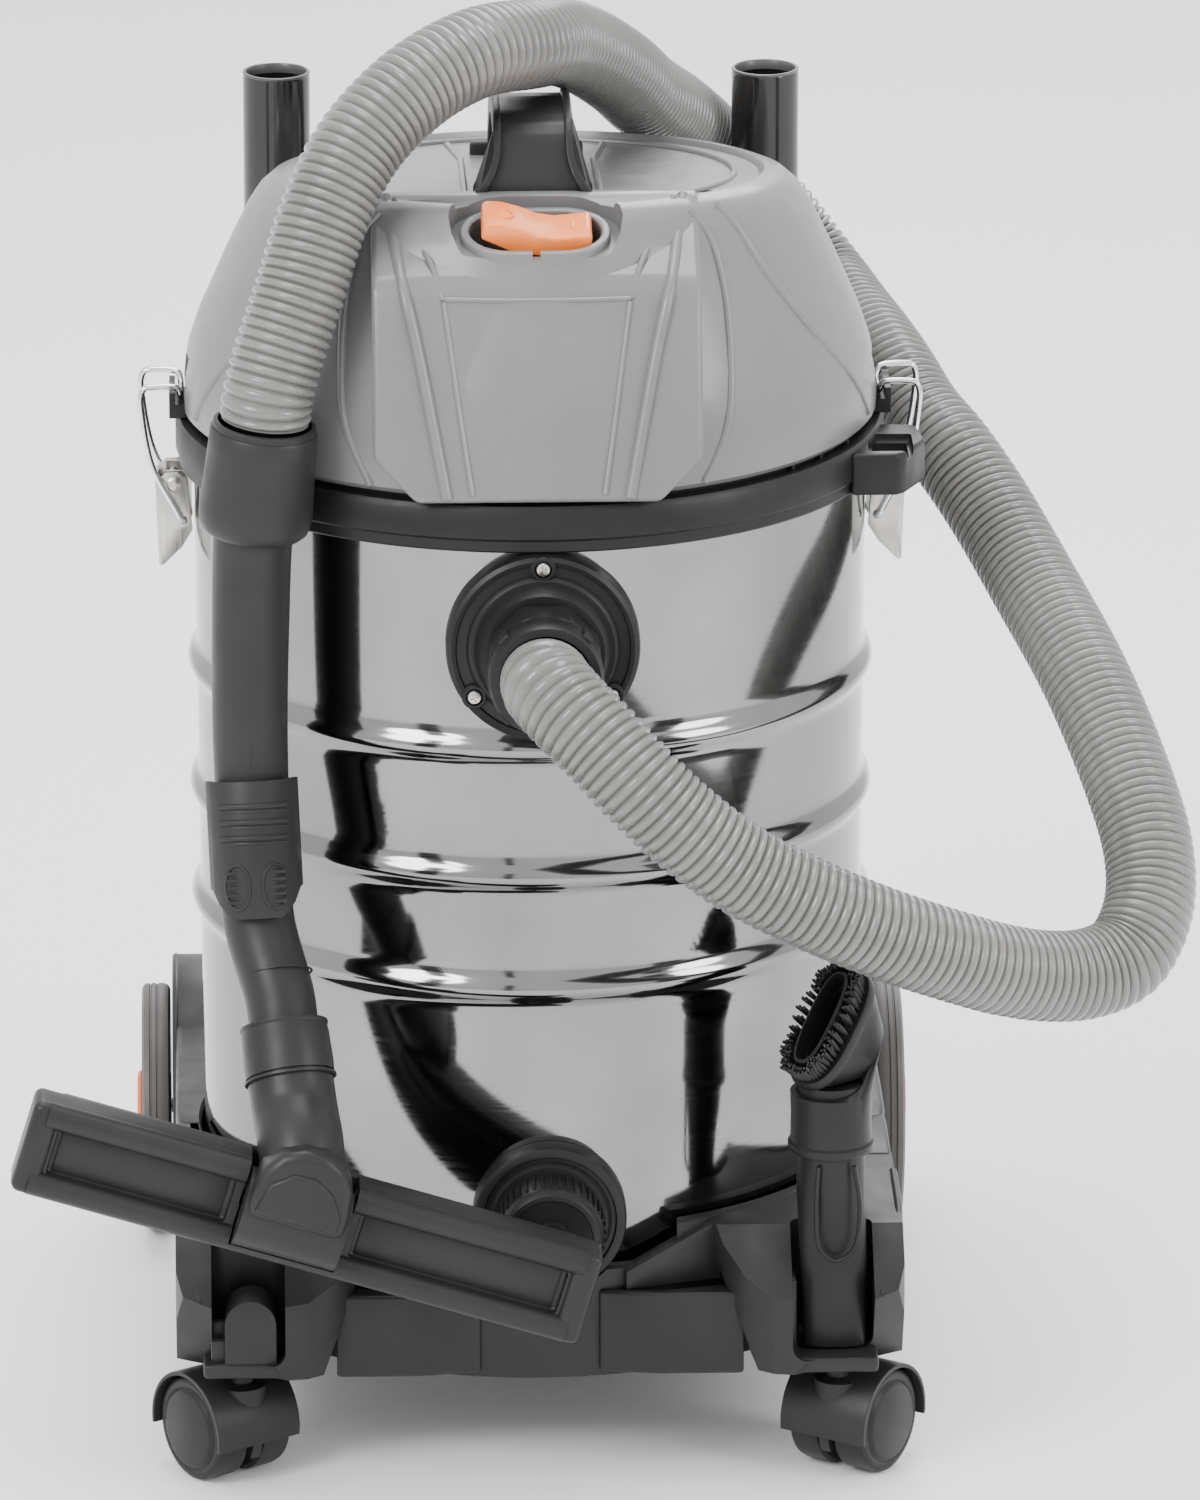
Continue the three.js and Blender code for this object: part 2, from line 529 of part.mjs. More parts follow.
// ---- stored tools ----
function storedTools() {
  for (const [side, word] of [[-1, "left"], [1, "right"]]) {
    const r = TUBE.radius;
    const bore = r - TUBE.wall;
    const pipe = turned([[bore, TUBE.bottom], [r, TUBE.bottom], [r, TUBE.top], [bore, TUBE.top]], 24);
    add(`extension_tube_${word}`, solid(pipe.translate(side * TUBE.x, TUBE.y, 0)), "gloss");
    const cup = turned([[0, 130], [22, 130], [22, 196], [18.4, 196], [18.4, 139.5], [0, 139.5]], 24);
    add(`tube_socket_${word}`, solid(cup.translate(side * TUBE.x, TUBE.y, 0)), "charcoal");
  }
  const level = (z, a, b, x = 147, y = -182) => oval([x, y, z], [a, 0, 0], [0, b, 0]);
  const crevice = loft([
    level(72, 16, 6, 149, -186), level(110, 16.5, 8, 149, -185), level(150, 17.5, 13, 147, -183),
    level(172, 17.5, 17.5), level(212, 17, 17),
  ]);
  add("crevice_tool", crevice, "black");
  const face = vec([-0.5, -0.5, 0.71]).normalize();
  const long = vec([0.42, 0.57, 0.7]).normalize();
  const short = face.clone().cross(long).normalize();
  long.copy(short).cross(face).normalize();
  const mouth = vec([146, -180, 240]);
  const ring = (drop, a, b) =>
    oval(
      mouth.clone().addScaledVector(face, drop).toArray(),
      long.clone().multiplyScalar(a).toArray(), short.clone().multiplyScalar(b).toArray(),
    );
  const round = (z, r) => {
    const flat = oval([147, -182, z], [long.x * r, long.y * r, 0], [short.x * r, short.y * r, 0]);
    return flat.map((p) => {
      const out = new THREE.Vector3(p.x - 147, p.y + 182, 0).normalize().multiplyScalar(r);
      return new THREE.Vector3(147 + out.x, -182 + out.y, z);
    });
  };
  const shell = loft([round(176, 21), round(206, 21), ring(-22, 24, 17), ring(-8, 33, 15), ring(0, 34, 15)]);
  const socket = rod(18, 60, [147, -182, 160], [0, 0, 1], 20);
  const throat = loft([ring(-18, 14, 7), ring(6, 24, 6)]);
  add("dust_brush", shell.subtract(socket).subtract(throat), "black");
  const inside = loft([ring(-2, 25.5, 7), ring(14, 26, 7.6)]);
  const tuft = loft([ring(0.4, 33, 14.6), ring(10, 34.5, 16)]).subtract(inside);
  add("dust_brush_bristles", tuft, "bristle");
}

// ---- trolley ----
function trolley() {
  const tray = solid(
    turned([
      [0, TRAY.deck], [176, TRAY.deck], [176, TRAY.bottom], [TRAY.outer, TRAY.bottom],
      [TRAY.outer, TRAY.rim], [TRAY.inner, TRAY.rim], [TRAY.inner, TRAY.seat], [0, TRAY.seat],
    ], 40),
  );
  const collar = solid(
    turned([
      [TRAY.inner, 100], [TRAY.outer, 100], [TRAY.outer, TRAY.shoulder], [TRAY.inner, TRAY.shoulder],
    ], 40),
  ).subtract(block(140, 400, 80, 0, -100, 130));
  const drumRoom = rod(TRAY.inner + 1.5, 200, [0, 0, TRAY.seat], [0, 0, 1], 40);
  const under = rod(175, 60, [0, 0, TRAY.deck - 60], [0, 0, 1], 40);
  let base = union(tray, collar);
  const rear = [[-160, 60], [160, 60], [152, 196], [-152, 196]];
  base = union(base, prismZ(rear, 98, 129.6).subtract(drumRoom));
  const arch = [];
  for (let i = 0; i <= ARCH.steps; i++) {
    const a = THREE.MathUtils.degToRad(ARCH.from + ((ARCH.to - ARCH.from) * i) / ARCH.steps);
    arch.push([WHEEL.y + ARCH.radius * Math.cos(a), WHEEL.z + ARCH.radius * Math.sin(a)]);
  }
  arch.push([WHEEL.y + 23, WHEEL.z - 4], [WHEEL.y + 15, ARCH.foot], [WHEEL.y - 15, ARCH.foot]);
  for (const side of [-1, 1]) {
    const low = [[96, -150], [108, -204], [176, -208], [185, -192], [185, -60], [150, -60]];
    const high = [[84, -160], [92, -178], [178, -172], [184, -150], [184, -60], [150, -60]];
    const flip = (outline) => (side > 0 ? outline : outline.map(([x, y]) => [-x, y]).reverse());
    const lower = prismZ(flip(low), FOOT.bottom, FOOT.step);
    let foot = union(lower, prismZ(flip(high), FOOT.step - 8, TRAY.shoulder));
    foot = foot.subtract(block(42, 60, 80, side * 148, -190, FOOT.wellFloor + 40));
    foot = foot.subtract(drumRoom).subtract(under);
    const ends = side > 0 ? [ARCH.inner, ARCH.outer] : [-ARCH.outer, -ARCH.inner];
    const join = block(30, 160, 70, side * 170, 70, 97);
    base = union(base, foot, union(prismX(arch, ...ends), join.subtract(drumRoom).subtract(under)));
    base = base.subtract(rod(6.4, 12, [side * CASTER.x, CASTER.y, 57], [0, 0, 1], 16));
  }
  base = base.subtract(rod(DRAIN.notch, 40, [DRAIN.x, -150, DRAIN.z], [0, -1, 0]));
  base = base.subtract(rod(4.6, 500, [-250, WHEEL.y, WHEEL.z], [1, 0, 0], 16));
  const tongue = block(20, 20, 34, -148, -188, FOOT.wellFloor + 16.9);
  add("trolley_base", union(base, tongue), "charcoal");
}

function rearWheels() {
  const end = WHEEL.outer + 0.8;
  add("rear_axle", rod(4, 2 * end, [-end, WHEEL.y, WHEEL.z], [1, 0, 0], 12), "satin");
  const { inner, outer, radius } = WHEEL;
  const mid = (inner + outer) / 2;
  const profile = [
    [4.6, inner], [20, mid - 3], [radius - 14, mid - 3], [radius - 12, inner],
    [radius, inner], [radius, outer], [radius - 12, outer], [radius - 14, mid + 3], [20, mid + 3],
    [20, outer], [4.6, outer],
  ];
  for (const [side, word] of [[-1, "left"], [1, "right"]]) {
    add(`rear_wheel_${word}`, turnedOn(profile, [0, WHEEL.y, WHEEL.z], [side, 0, 0], 30), "tread");
    const cap = [
      [0, outer + 1.2], [5.4, outer + 1.2], [5.4, outer + 0.4],
      [19, outer + 0.4], [17, outer + 3], [0, outer + 3],
    ];
    add(`hub_cap_${word}`, turnedOn(cap, [0, WHEEL.y, WHEEL.z], [side, 0, 0], 20), "orange");
  }
}

// Twin-wheel caster: hood with its web and stem, one axle, and two wheels that turn apart from each other.
function casters() {
  for (const [side, word] of [[-1, "left"], [1, "right"]]) {
    const a = THREE.MathUtils.degToRad(CASTER.turn);
    const axis = [side * Math.sin(a), -Math.cos(a), 0];
    const back = [side * Math.cos(a), Math.sin(a), 0];
    const z = CASTER.radius;
    const hub = [CASTER.x * side + back[0] * CASTER.trail, CASTER.y + back[1] * CASTER.trail, z];
    const t = CASTER.half;
    const ring = turnedOn(
      [[28.2, -t - 1], [CASTER.hood, -t - 1], [CASTER.hood, t + 1], [28.2, t + 1]], hub, axis, 22,
    ).subtract(block(120, 120, 60, hub[0], hub[1], z - 34));
    const web = turnedOn([[3.4, -3], [29, -3], [29, 3], [3.4, 3]], hub, axis, 22);
    const stem = rod(6, 22, [side * CASTER.x, CASTER.y, 45], [0, 0, 1], 16);
    const room = turnedOn([[0, 3.8], [28.1, 3.8], [28.1, 60], [0, 60]], hub, axis, 22);
    const mate = turnedOn([[0, 3.8], [28.1, 3.8], [28.1, 60], [0, 60]], hub, axis.map((v) => -v), 22);
    const hood = union(ring, web, stem.subtract(room).subtract(mate));
    add(`caster_hood_${word}`, hood, "charcoal");
    add(`caster_axle_${word}`, rod(CASTER.axle, 2 * t - 4, along(hub, axis, -t + 2), axis, 12), "satin");
    for (const [hand, place] of [[1, "outer"], [-1, "inner"]]) {
      const disc = turnedOn(
        [[3.5, 4], [z, 4], [z, t - 3], [24, t], [3.5, t]],
        hub, axis.map((v) => v * hand), 22,
      );
      add(`caster_wheel_${word}_${place}`, disc, "black");
    }
  }
}

drum();
rimBand();
inlet();
drain();
headCover();
headBase();
carryHandle();
rockerSwitch();
motorAndFilter();
latch(-1, "left");
latch(1, "right");
hoseSet();
nozzle();
storedTools();
trolley();
rearWheels();
casters();

// The origin goes under the middle of the machine's box, measured without the free hose.
machine.position.set(DRUM_AXIS.x, DRUM_AXIS.y, 0);

export default machine;
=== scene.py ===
"""A wet-and-dry drum vacuum cleaner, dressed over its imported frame.

Every piece is modelled in millimetres round the drum's axis, with the front towards -Y, and is then
settled: scaled to metres and moved to the frame's own place for that axis.
"""

import math

import bpy
from mathutils import Matrix, Quaternion, Vector


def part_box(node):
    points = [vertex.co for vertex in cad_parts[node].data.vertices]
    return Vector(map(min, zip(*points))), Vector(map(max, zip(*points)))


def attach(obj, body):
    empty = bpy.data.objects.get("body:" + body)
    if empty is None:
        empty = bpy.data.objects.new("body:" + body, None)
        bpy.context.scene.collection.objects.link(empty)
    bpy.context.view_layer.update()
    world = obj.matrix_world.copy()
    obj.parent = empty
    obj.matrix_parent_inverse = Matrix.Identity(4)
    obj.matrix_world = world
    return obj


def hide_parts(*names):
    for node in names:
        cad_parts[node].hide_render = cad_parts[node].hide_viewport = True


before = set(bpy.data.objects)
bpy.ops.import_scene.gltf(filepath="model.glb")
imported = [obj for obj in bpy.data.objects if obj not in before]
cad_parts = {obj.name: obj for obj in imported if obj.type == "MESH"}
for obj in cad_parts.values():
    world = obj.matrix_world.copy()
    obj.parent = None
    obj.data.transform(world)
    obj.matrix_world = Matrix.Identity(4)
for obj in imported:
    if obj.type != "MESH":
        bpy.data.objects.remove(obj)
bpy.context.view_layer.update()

MM = 0.001
low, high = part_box("drum")
AXIS = (low + high) / 2
AXIS.z = 0
SIDES = ((-1, "left"), (1, "right"))
UP = Vector((0, 0, 1))
FRONT = Vector((0, -1, 0))


# ---- working in the workshop ----


def only(*pieces):
    """Selects these pieces and nothing else; the first is the active one."""
    if bpy.context.object and bpy.context.object.mode != "OBJECT":
        bpy.ops.object.mode_set(mode="OBJECT")
    bpy.ops.object.select_all(action="DESELECT")
    for piece in pieces:
        piece.select_set(True)
    if pieces:
        bpy.context.view_layer.objects.active = pieces[0]


def edit(piece):
    """Opens a piece for editing with everything in it selected."""
    only(piece)
    bpy.ops.object.mode_set(mode="EDIT")
    bpy.ops.mesh.select_all(action="SELECT")


def close(doubles=0.01):
    """Welds the open piece's doubles, turns its faces out and closes it."""
    bpy.ops.mesh.select_all(action="SELECT")
    bpy.ops.mesh.remove_doubles(threshold=doubles)
    bpy.ops.mesh.normals_make_consistent(inside=False)
    bpy.ops.object.mode_set(mode="OBJECT")
    return bpy.context.object


def line_through(points):
    """Starts a piece as a chain of edges through points, and leaves it open for editing."""
    only()
    bpy.ops.mesh.primitive_plane_add(size=0.02, location=(0, 0, 0))
    bpy.ops.object.mode_set(mode="EDIT")
    bpy.ops.mesh.select_all(action="SELECT")
    bpy.ops.mesh.merge(type="CENTER")
    here = Vector(points[0])
    bpy.ops.transform.translate(value=here)
    for point in points[1:]:
        step = Vector(point) - here
        bpy.ops.mesh.extrude_region_move(TRANSFORM_OT_translate={"value": step})
        here = Vector(point)


def turned(profile, steps=96):
    """A piece turned about Z from (radius, height) points; it closes on itself off the axis."""
    points = [(r, 0, z) for r, z in profile]
    if profile[0][0] > 0:
        points.append(points[0])
    line_through(points)
    bpy.ops.mesh.select_all(action="SELECT")
    bpy.ops.mesh.spin(steps=steps, angle=math.tau, center=(0, 0, 0), axis=(0, 0, 1))
    return close()


def slab(points, depth):
    """An outline in the XY plane raised along Z."""
    line_through([(x, y, 0) for x, y in points])
    bpy.ops.mesh.select_all(action="SELECT")
    bpy.ops.mesh.edge_face_add()
    bpy.ops.mesh.extrude_region_move(TRANSFORM_OT_translate={"value": (0, 0, depth)})
    return close()


def stand(piece, matrix):
    """Turns and moves a piece in the workshop, and keeps its place in its mesh."""
    piece.matrix_world = matrix @ piece.matrix_world
    only(piece)
    bpy.ops.object.transform_apply(location=True, rotation=True, scale=True)
    return piece


def point_along(piece, start, direction):
    """Stands a piece that was made along Z on a point, pointing in a direction."""
    turn = UP.rotation_difference(Vector(direction).normalized()).to_matrix().to_4x4()
    return stand(piece, Matrix.Translation(Vector(start)) @ turn)


def slab_side(points, low, high):
    """A (y, z) outline carried along X."""
    turn = Matrix(((0, 0, 1, low), (1, 0, 0, 0), (0, 1, 0, 0), (0, 0, 0, 1)))
    return stand(slab(points, high - low), turn)


def slab_front(points, back, front):
    """An (x, z) outline carried towards -Y."""
    turn = Matrix(((1, 0, 0, 0), (0, 0, -1, back), (0, 1, 0, 0), (0, 0, 0, 1)))
    return stand(slab(points, back - front), turn)


def block(low, high):
    """A box between two corners."""
    only()
    bpy.ops.mesh.primitive_cube_add(size=1)
    piece = bpy.context.object
    low, high = Vector(low), Vector(high)
    size = Matrix.Diagonal((*(high - low), 1))
    return stand(piece, Matrix.Translation((low + high) / 2) @ size)


def rod(radius, start, end, steps=48):
    start, end = Vector(start), Vector(end)
    length = (end - start).length
    made = turned([(0, 0), (radius, 0), (radius, length), (0, length)], steps)
    return point_along(made, start, end - start)


def modified(piece, kind, **values):
    only(piece)
    modifier = piece.modifiers.new(kind.title(), kind)
    for key, value in values.items():
        setattr(modifier, key, value)
    bpy.ops.object.modifier_apply(modifier=modifier.name)
    return piece


def eased(piece, width, segments=3, angle=30):
    """Rounds every edge that turns by more than an angle."""
    return modified(
        piece,
        "BEVEL",
        width=width,
        segments=segments,
        limit_method="ANGLE",
        angle_limit=math.radians(angle),
        harden_normals=False,
    )


def cut(piece, *tools):
    for tool in tools:
        modified(piece, "BOOLEAN", operation="DIFFERENCE", object=tool, solver="EXACT")
        bpy.data.objects.remove(tool)
    return piece


def fused(piece, *others):
    for other in others:
        modified(piece, "BOOLEAN", operation="UNION", object=other, solver="EXACT")
        bpy.data.objects.remove(other)
    return piece


def joined(piece, *others):
    only(piece, *others)
    bpy.ops.object.join()
    return piece


def copy_of(piece):
    twin = piece.copy()
    twin.data = piece.data.copy()
    bpy.context.scene.collection.objects.link(twin)
    return twin


def mirrored(piece):
    """The other side's twin of a piece, its faces turned out again."""
    twin = stand(copy_of(piece), Matrix.Diagonal((-1, 1, 1, 1)))
    edit(twin)
    bpy.ops.mesh.normals_make_consistent(inside=False)
    bpy.ops.object.mode_set(mode="OBJECT")
    return twin


def bisected(piece, point, normal):
    """Cuts away what lies beyond a plane and closes the cut."""
    edit(piece)
    bpy.ops.mesh.bisect(plane_co=point, plane_no=normal, use_fill=True, clear_outer=True)
    return close()


def moved_by(piece, rule):
    """Moves each point of a piece to where a rule puts it."""
    for vertex in piece.data.vertices:
        vertex.co = rule(vertex.co)
    return piece


def arc(cx, cy, radius, start, end, count):
    """Points on an arc, angles in degrees."""
    angles = [math.radians(start + (end - start) * i / count) for i in range(count + 1)]
    return [(cx + radius * math.cos(a), cy + radius * math.sin(a)) for a in angles]


def oval_points(half_long, radius, count=10):
    """A stadium: two half rounds whose centres stand off the middle by half_long."""
    right = arc(half_long, 0, radius, -90, 90, count)
    left = arc(-half_long, 0, radius, 90, 270, count)
    return right + left


def smooth_route(points, step):
    """Centripetal Catmull-Rom points through points, about a step apart."""
    knots = [Vector(p) for p in points]
    ends = [2 * knots[0] - knots[1], *knots, 2 * knots[-1] - knots[-2]]
    route = []
    for p0, p1, p2, p3 in zip(ends, ends[1:], ends[2:], ends[3:]):
        d0, d1, d2 = (math.sqrt((b - a).length) for a, b in ((p0, p1), (p1, p2), (p2, p3)))
        t1 = ((p1 - p0) / d0 - (p2 - p0) / (d0 + d1) + (p2 - p1) / d1) * d1
        t2 = ((p2 - p1) / d1 - (p3 - p1) / (d1 + d2) + (p3 - p2) / d2) * d1
        count = max(2, round((p2 - p1).length / step))
        for i in range(count):
            t = i / count
            a = 2 * p1 - 2 * p2 + t1 + t2
            b = -3 * p1 + 3 * p2 - 2 * t1 - t2
            route.append(a * t**3 + b * t**2 + t1 * t + p1)
    route.append(knots[-1])
    return route


def bar(route, radius, sides=5, taper=None):
    """A round bar along a route; taper gives each point's share of the radius."""
    curve = bpy.data.curves.new("bar", "CURVE")
    curve.dimensions = "3D"
    curve.bevel_depth = radius
    curve.bevel_resolution = sides
    curve.use_fill_caps = True
    spline = curve.splines.new("POLY")
    spline.points.add(len(route) - 1)
    for i, (point, place) in enumerate(zip(spline.points, route)):
        point.co = (*place, 1)
        point.radius = taper[i] if taper else 1
    piece = bpy.data.objects.new("bar", curve)
    bpy.context.scene.collection.objects.link(piece)
    only(piece)
    bpy.ops.object.convert(target="MESH")
    edit(bpy.context.object)
    return close()


def settle(piece, name, material, body, slot, *nodes, angle=35):
    """Finishes a piece: metres, its place, smooth shading, finish, body and the nodes it stands for."""
    piece.name = name
    piece.data.name = name
    stand(piece, Matrix.Translation(AXIS) @ Matrix.Diagonal((MM, MM, MM, 1)))
    bpy.ops.object.shade_smooth_by_angle(angle=math.radians(angle))
    piece.data.materials.clear()
    piece.data.materials.append(material)
    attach(piece, body)
    if nodes:
        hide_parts(*nodes)
    return piece


# ---- finishes ----


def new_material(name):
    material = bpy.data.materials.new(name)
    material.use_nodes = True
    nodes = material.node_tree.nodes
    shader = nodes["Principled BSDF"]
    place = nodes.new("ShaderNodeTexCoord")
    return material, nodes, material.node_tree.links, shader, place.outputs["Object"]


def noise(nodes, links, place, scale, detail=3, stretch=None):
    """A noise on the piece's own coordinates, stretched along its axes when asked."""
    texture = nodes.new("ShaderNodeTexNoise")
    texture.inputs["Scale"].default_value = scale
    texture.inputs["Detail"].default_value = detail
    if stretch:
        mapping = nodes.new("ShaderNodeMapping")
        mapping.inputs["Scale"].default_value = stretch
        links.new(place, mapping.inputs["Vector"])
        place = mapping.outputs["Vector"]
    links.new(place, texture.inputs["Vector"])
    return texture.outputs["Fac"]


def spread(nodes, links, value, low, high, start=0.3, end=0.7):
    """Maps a noise's middle stretch onto a range."""
    ranged = nodes.new("ShaderNodeMapRange")
    ranged.inputs["From Min"].default_value = start
    ranged.inputs["From Max"].default_value = end
    ranged.inputs["To Min"].default_value = low
    ranged.inputs["To Max"].default_value = high
    links.new(value, ranged.inputs["Value"])
    return ranged.outputs["Result"]


def two_tones(nodes, links, value, dark, light):
    mix = nodes.new("ShaderNodeMix")
    mix.data_type = "RGBA"
    mix.inputs["A"].default_value = (*dark, 1)
    mix.inputs["B"].default_value = (*light, 1)
    links.new(value, mix.inputs["Factor"])
    return mix.outputs["Result"]


def bumped(nodes, links, shader, value, strength, distance):
    bump = nodes.new("ShaderNodeBump")
    bump.inputs["Strength"].default_value = strength
    bump.inputs["Distance"].default_value = distance
    links.new(value, bump.inputs["Height"])
    links.new(bump.outputs["Normal"], shader.inputs["Normal"])


def moulded(name, dark, light, roughness, grain=0.35, coat=0.0, shine=0.5):
    """Moulded plastic: slow tone changes, a fine spark-eroded grain and uneven gloss."""
    material, nodes, links, shader, place = new_material(name)
    slow = noise(nodes, links, place, 14)
    links.new(
        two_tones(nodes, links, spread(nodes, links, slow, 0, 1), dark, light),
        shader.inputs["Base Color"],
    )
    patch = noise(nodes, links, place, 60)
    links.new(
        spread(nodes, links, patch, roughness - 0.05, roughness + 0.06),
        shader.inputs["Roughness"],
    )
    bumped(nodes, links, shader, noise(nodes, links, place, 1400, 2), grain, 0.00012)
    shader.inputs["Coat Weight"].default_value = coat
    shader.inputs["Coat Roughness"].default_value = 0.15
    shader.inputs["Specular IOR Level"].default_value = shine
    return material


def metal(name, dark, light, roughness, brushing, strength=0.1):
    """Bare metal with brushing that runs along the two axes that aren't stretched."""
    material, nodes, links, shader, place = new_material(name)
    shader.inputs["Metallic"].default_value = 1
    lines = noise(nodes, links, place, 1, 4, brushing)
    cloud = noise(nodes, links, place, 9)
    links.new(
        two_tones(nodes, links, spread(nodes, links, cloud, 0, 1), dark, light),
        shader.inputs["Base Color"],
    )
    links.new(
        spread(nodes, links, lines, roughness * 0.7, roughness * 1.4),
        shader.inputs["Roughness"],
    )
    bumped(nodes, links, shader, lines, strength, 0.0001)
    return material


grey_shell = moulded("grey shell", (0.14, 0.14, 0.142), (0.162, 0.162, 0.164), 0.36, 0.2, 0.25)
charcoal = moulded("charcoal moulding", (0.012, 0.012, 0.013), (0.018, 0.018, 0.019), 0.4, 0.3, 0, 0.28)
soft_black = moulded(
    "soft black moulding", (0.008, 0.008, 0.0085), (0.013, 0.013, 0.0135), 0.4, 0.35, 0, 0.25
)
grip_black = moulded("grip black", (0.014, 0.014, 0.015), (0.021, 0.021, 0.022), 0.44, 0.5, 0, 0.28)
gloss_tube = moulded("gloss black tube", (0.008, 0.007, 0.007), (0.012, 0.011, 0.01), 0.14, 0.05, 0.5)
tube_lip = moulded("tube lip", (0.05, 0.05, 0.05), (0.08, 0.08, 0.08), 0.3, 0.1)
orange_switch = moulded("orange switch", (0.92, 0.2, 0.03), (1.0, 0.27, 0.06), 0.35, 0.15, 0.2)
orange_trim = moulded("orange trim", (0.6, 0.1, 0.02), (0.75, 0.15, 0.03), 0.4, 0.2)
hose_plastic = moulded("hose plastic", (0.135, 0.132, 0.126), (0.18, 0.176, 0.168), 0.26, 0.15, 0.4)
tread_grey = moulded("tread grey", (0.06, 0.055, 0.052), (0.085, 0.08, 0.075), 0.5, 0.5)
bristle_black = moulded("bristle black", (0.006, 0.006, 0.006), (0.012, 0.012, 0.012), 0.55, 0.6)
seal_black = moulded("seal black", (0.012, 0.012, 0.012), (0.02, 0.02, 0.02), 0.7, 0.6)
float_white = moulded("float white", (0.6, 0.6, 0.6), (0.68, 0.68, 0.68), 0.45, 0.2)
filter_pleats = moulded("filter pleats", (0.62, 0.58, 0.5), (0.72, 0.69, 0.61), 0.85, 0.9)
mirror_steel = metal("mirror steel", (0.2, 0.2, 0.202), (0.28, 0.28, 0.278), 0.09, (3, 3, 900), 0.03)
wire_steel = metal("wire steel", (0.74, 0.74, 0.74), (0.82, 0.82, 0.82), 0.16, (40, 40, 400))
satin_steel = metal("satin steel", (0.54, 0.52, 0.49), (0.62, 0.6, 0.57), 0.32, (700, 700, 20))
cast_metal = metal("cast metal", (0.5, 0.5, 0.5), (0.6, 0.6, 0.6), 0.5, (200, 200, 200), 0.4)


# ---- camera, light and floor ----


def set_the_stage():
    """Floor, soft studio light and the camera in front, a little above and to the left."""
    camera = bpy.data.objects.new("camera", bpy.data.cameras.new("camera"))
    bpy.context.scene.collection.objects.link(camera)
    bpy.context.scene.camera = camera
    camera.data.lens = 279.1
    camera.data.sensor_width = 36
    camera.data.clip_end = 50
    target = AXIS + Vector((36, 0, 330)) * MM
    swing, rise = math.radians(-1.8), math.radians(17.7)
    back = Vector(
        (math.sin(swing) * math.cos(rise), -math.cos(swing) * math.cos(rise), math.sin(rise))
    )
    camera.location = target + back * 6.0
    camera.rotation_euler = back.to_track_quat("Z", "Y").to_euler()

    only()
    bpy.ops.mesh.primitive_plane_add(size=16, location=(AXIS.x, AXIS.y, 0))
    floor = bpy.context.object
    floor.name = "studio_floor"
    paint, nodes, links, shader, place = new_material("studio floor")
    cloud = noise(nodes, links, place, 3)
    links.new(
        two_tones(nodes, links, cloud, (0.93, 0.93, 0.93), (0.96, 0.96, 0.96)),
        shader.inputs["Base Color"],
    )
    shader.inputs["Roughness"].default_value = 0.55
    floor.data.materials.append(paint)

    world = bpy.data.worlds.new("studio")
    bpy.context.scene.world = world
    world.use_nodes = True
    world.node_tree.nodes["Background"].inputs["Color"].default_value = (1, 1, 1, 1)
    world.node_tree.nodes["Background"].inputs["Strength"].default_value = 1.55

    for name, place, size, power in (
        ("key light", (-1.9, -2.3, 2.4), 1.5, 90),
        ("fill light", (2.4, -1.6, 1.6), 1.2, 40),
        ("back light", (0.6, 2.4, 2.2), 1.6, 44),
        ("top light", (0.0, 0.2, 2.8), 1.4, 40),
    ):
        light = bpy.data.lights.new(name, "AREA")
        light.shape = "DISK"
        light.size = size
        light.energy = power
        lamp = bpy.data.objects.new(name, light)
        bpy.context.scene.collection.objects.link(lamp)
        lamp.location = place
        aim = Vector((0, 0, 0.35)) - lamp.location
        lamp.rotation_euler = aim.to_track_quat("-Z", "Y").to_euler()

    for name, x, y, width in (
        ("flag_left", -1.5, -2.2, 0.35),
        ("flag_middle", -0.45, -3.2, 0.16),
        ("flag_right", 1.9, -1.9, 0.5),
    ):
        only()
        bpy.ops.mesh.primitive_plane_add(size=1, location=(x, y, 1.0))
        flag = bpy.context.object
        flag.name = name
        flag.scale = (width, 2.6, 1)
        flag.rotation_euler = (math.pi / 2, 0, math.atan2(-x, y) + math.pi)
        flag.data.materials.append(seal_black)
        flag.visible_camera = False
        flag.visible_shadow = False
        flag.visible_diffuse = False


set_the_stage()


# ---- the hose ----

HOSE_RADIUS = 23
RIDGE_PITCH = 5.2
HOSE_ROUTE = [
    (2, -236.9, 441), (2, -243, 441), (6, -251, 438), (16, -261, 429.5), (29, -269, 418),
    (46, -277, 401), (67, -281, 381), (96, -281, 358), (136, -276, 335), (171, -266, 317),
    (200, -254, 303), (228, -240, 290), (254, -225, 281), (276, -211, 278), (293, -199, 282),
    (303, -186, 293.5), (308, -170, 307.5), (307.5, -150, 325.5), (300, -120, 349), (282, -66, 386),
    (259.5, -8, 418), (237, 40, 449), (219.5, 68, 469.5), (205, 92, 482), (194.5, 116, 495),
    (184.5, 144, 504.5), (173.5, 178, 512), (163, 206, 521), (150, 219, 536), (135, 222, 555),
    (116, 219, 577), (97, 203, 601), (79, 172, 624), (63, 134, 644), (50, 100, 664),
    (28, 42, 692), (13, 6, 705.5), (-1, -30, 713), (-30, -66, 717), (-60, -91, 706),
    (-88, -113, 682), (-105, -130, 652), (-118, -145, 615), (-129, -155, 584),
    (-134, -159.3, 566), (-135.4, -159.1, 554.6),
]


def evenly(route, step):
    """The route again, with its points an even step apart."""
    lengths = [0.0]
    for a, b in zip(route, route[1:]):
        lengths.append(lengths[-1] + (b - a).length)
    count = round(lengths[-1] / step)
    even = []
    i = 0
    for n in range(count + 1):
        want = lengths[-1] * n / count
        while i < len(route) - 2 and lengths[i + 1] < want:
            i += 1
        share = (want - lengths[i]) / (lengths[i + 1] - lengths[i])
        even.append(route[i].lerp(route[i + 1], share))
    return even


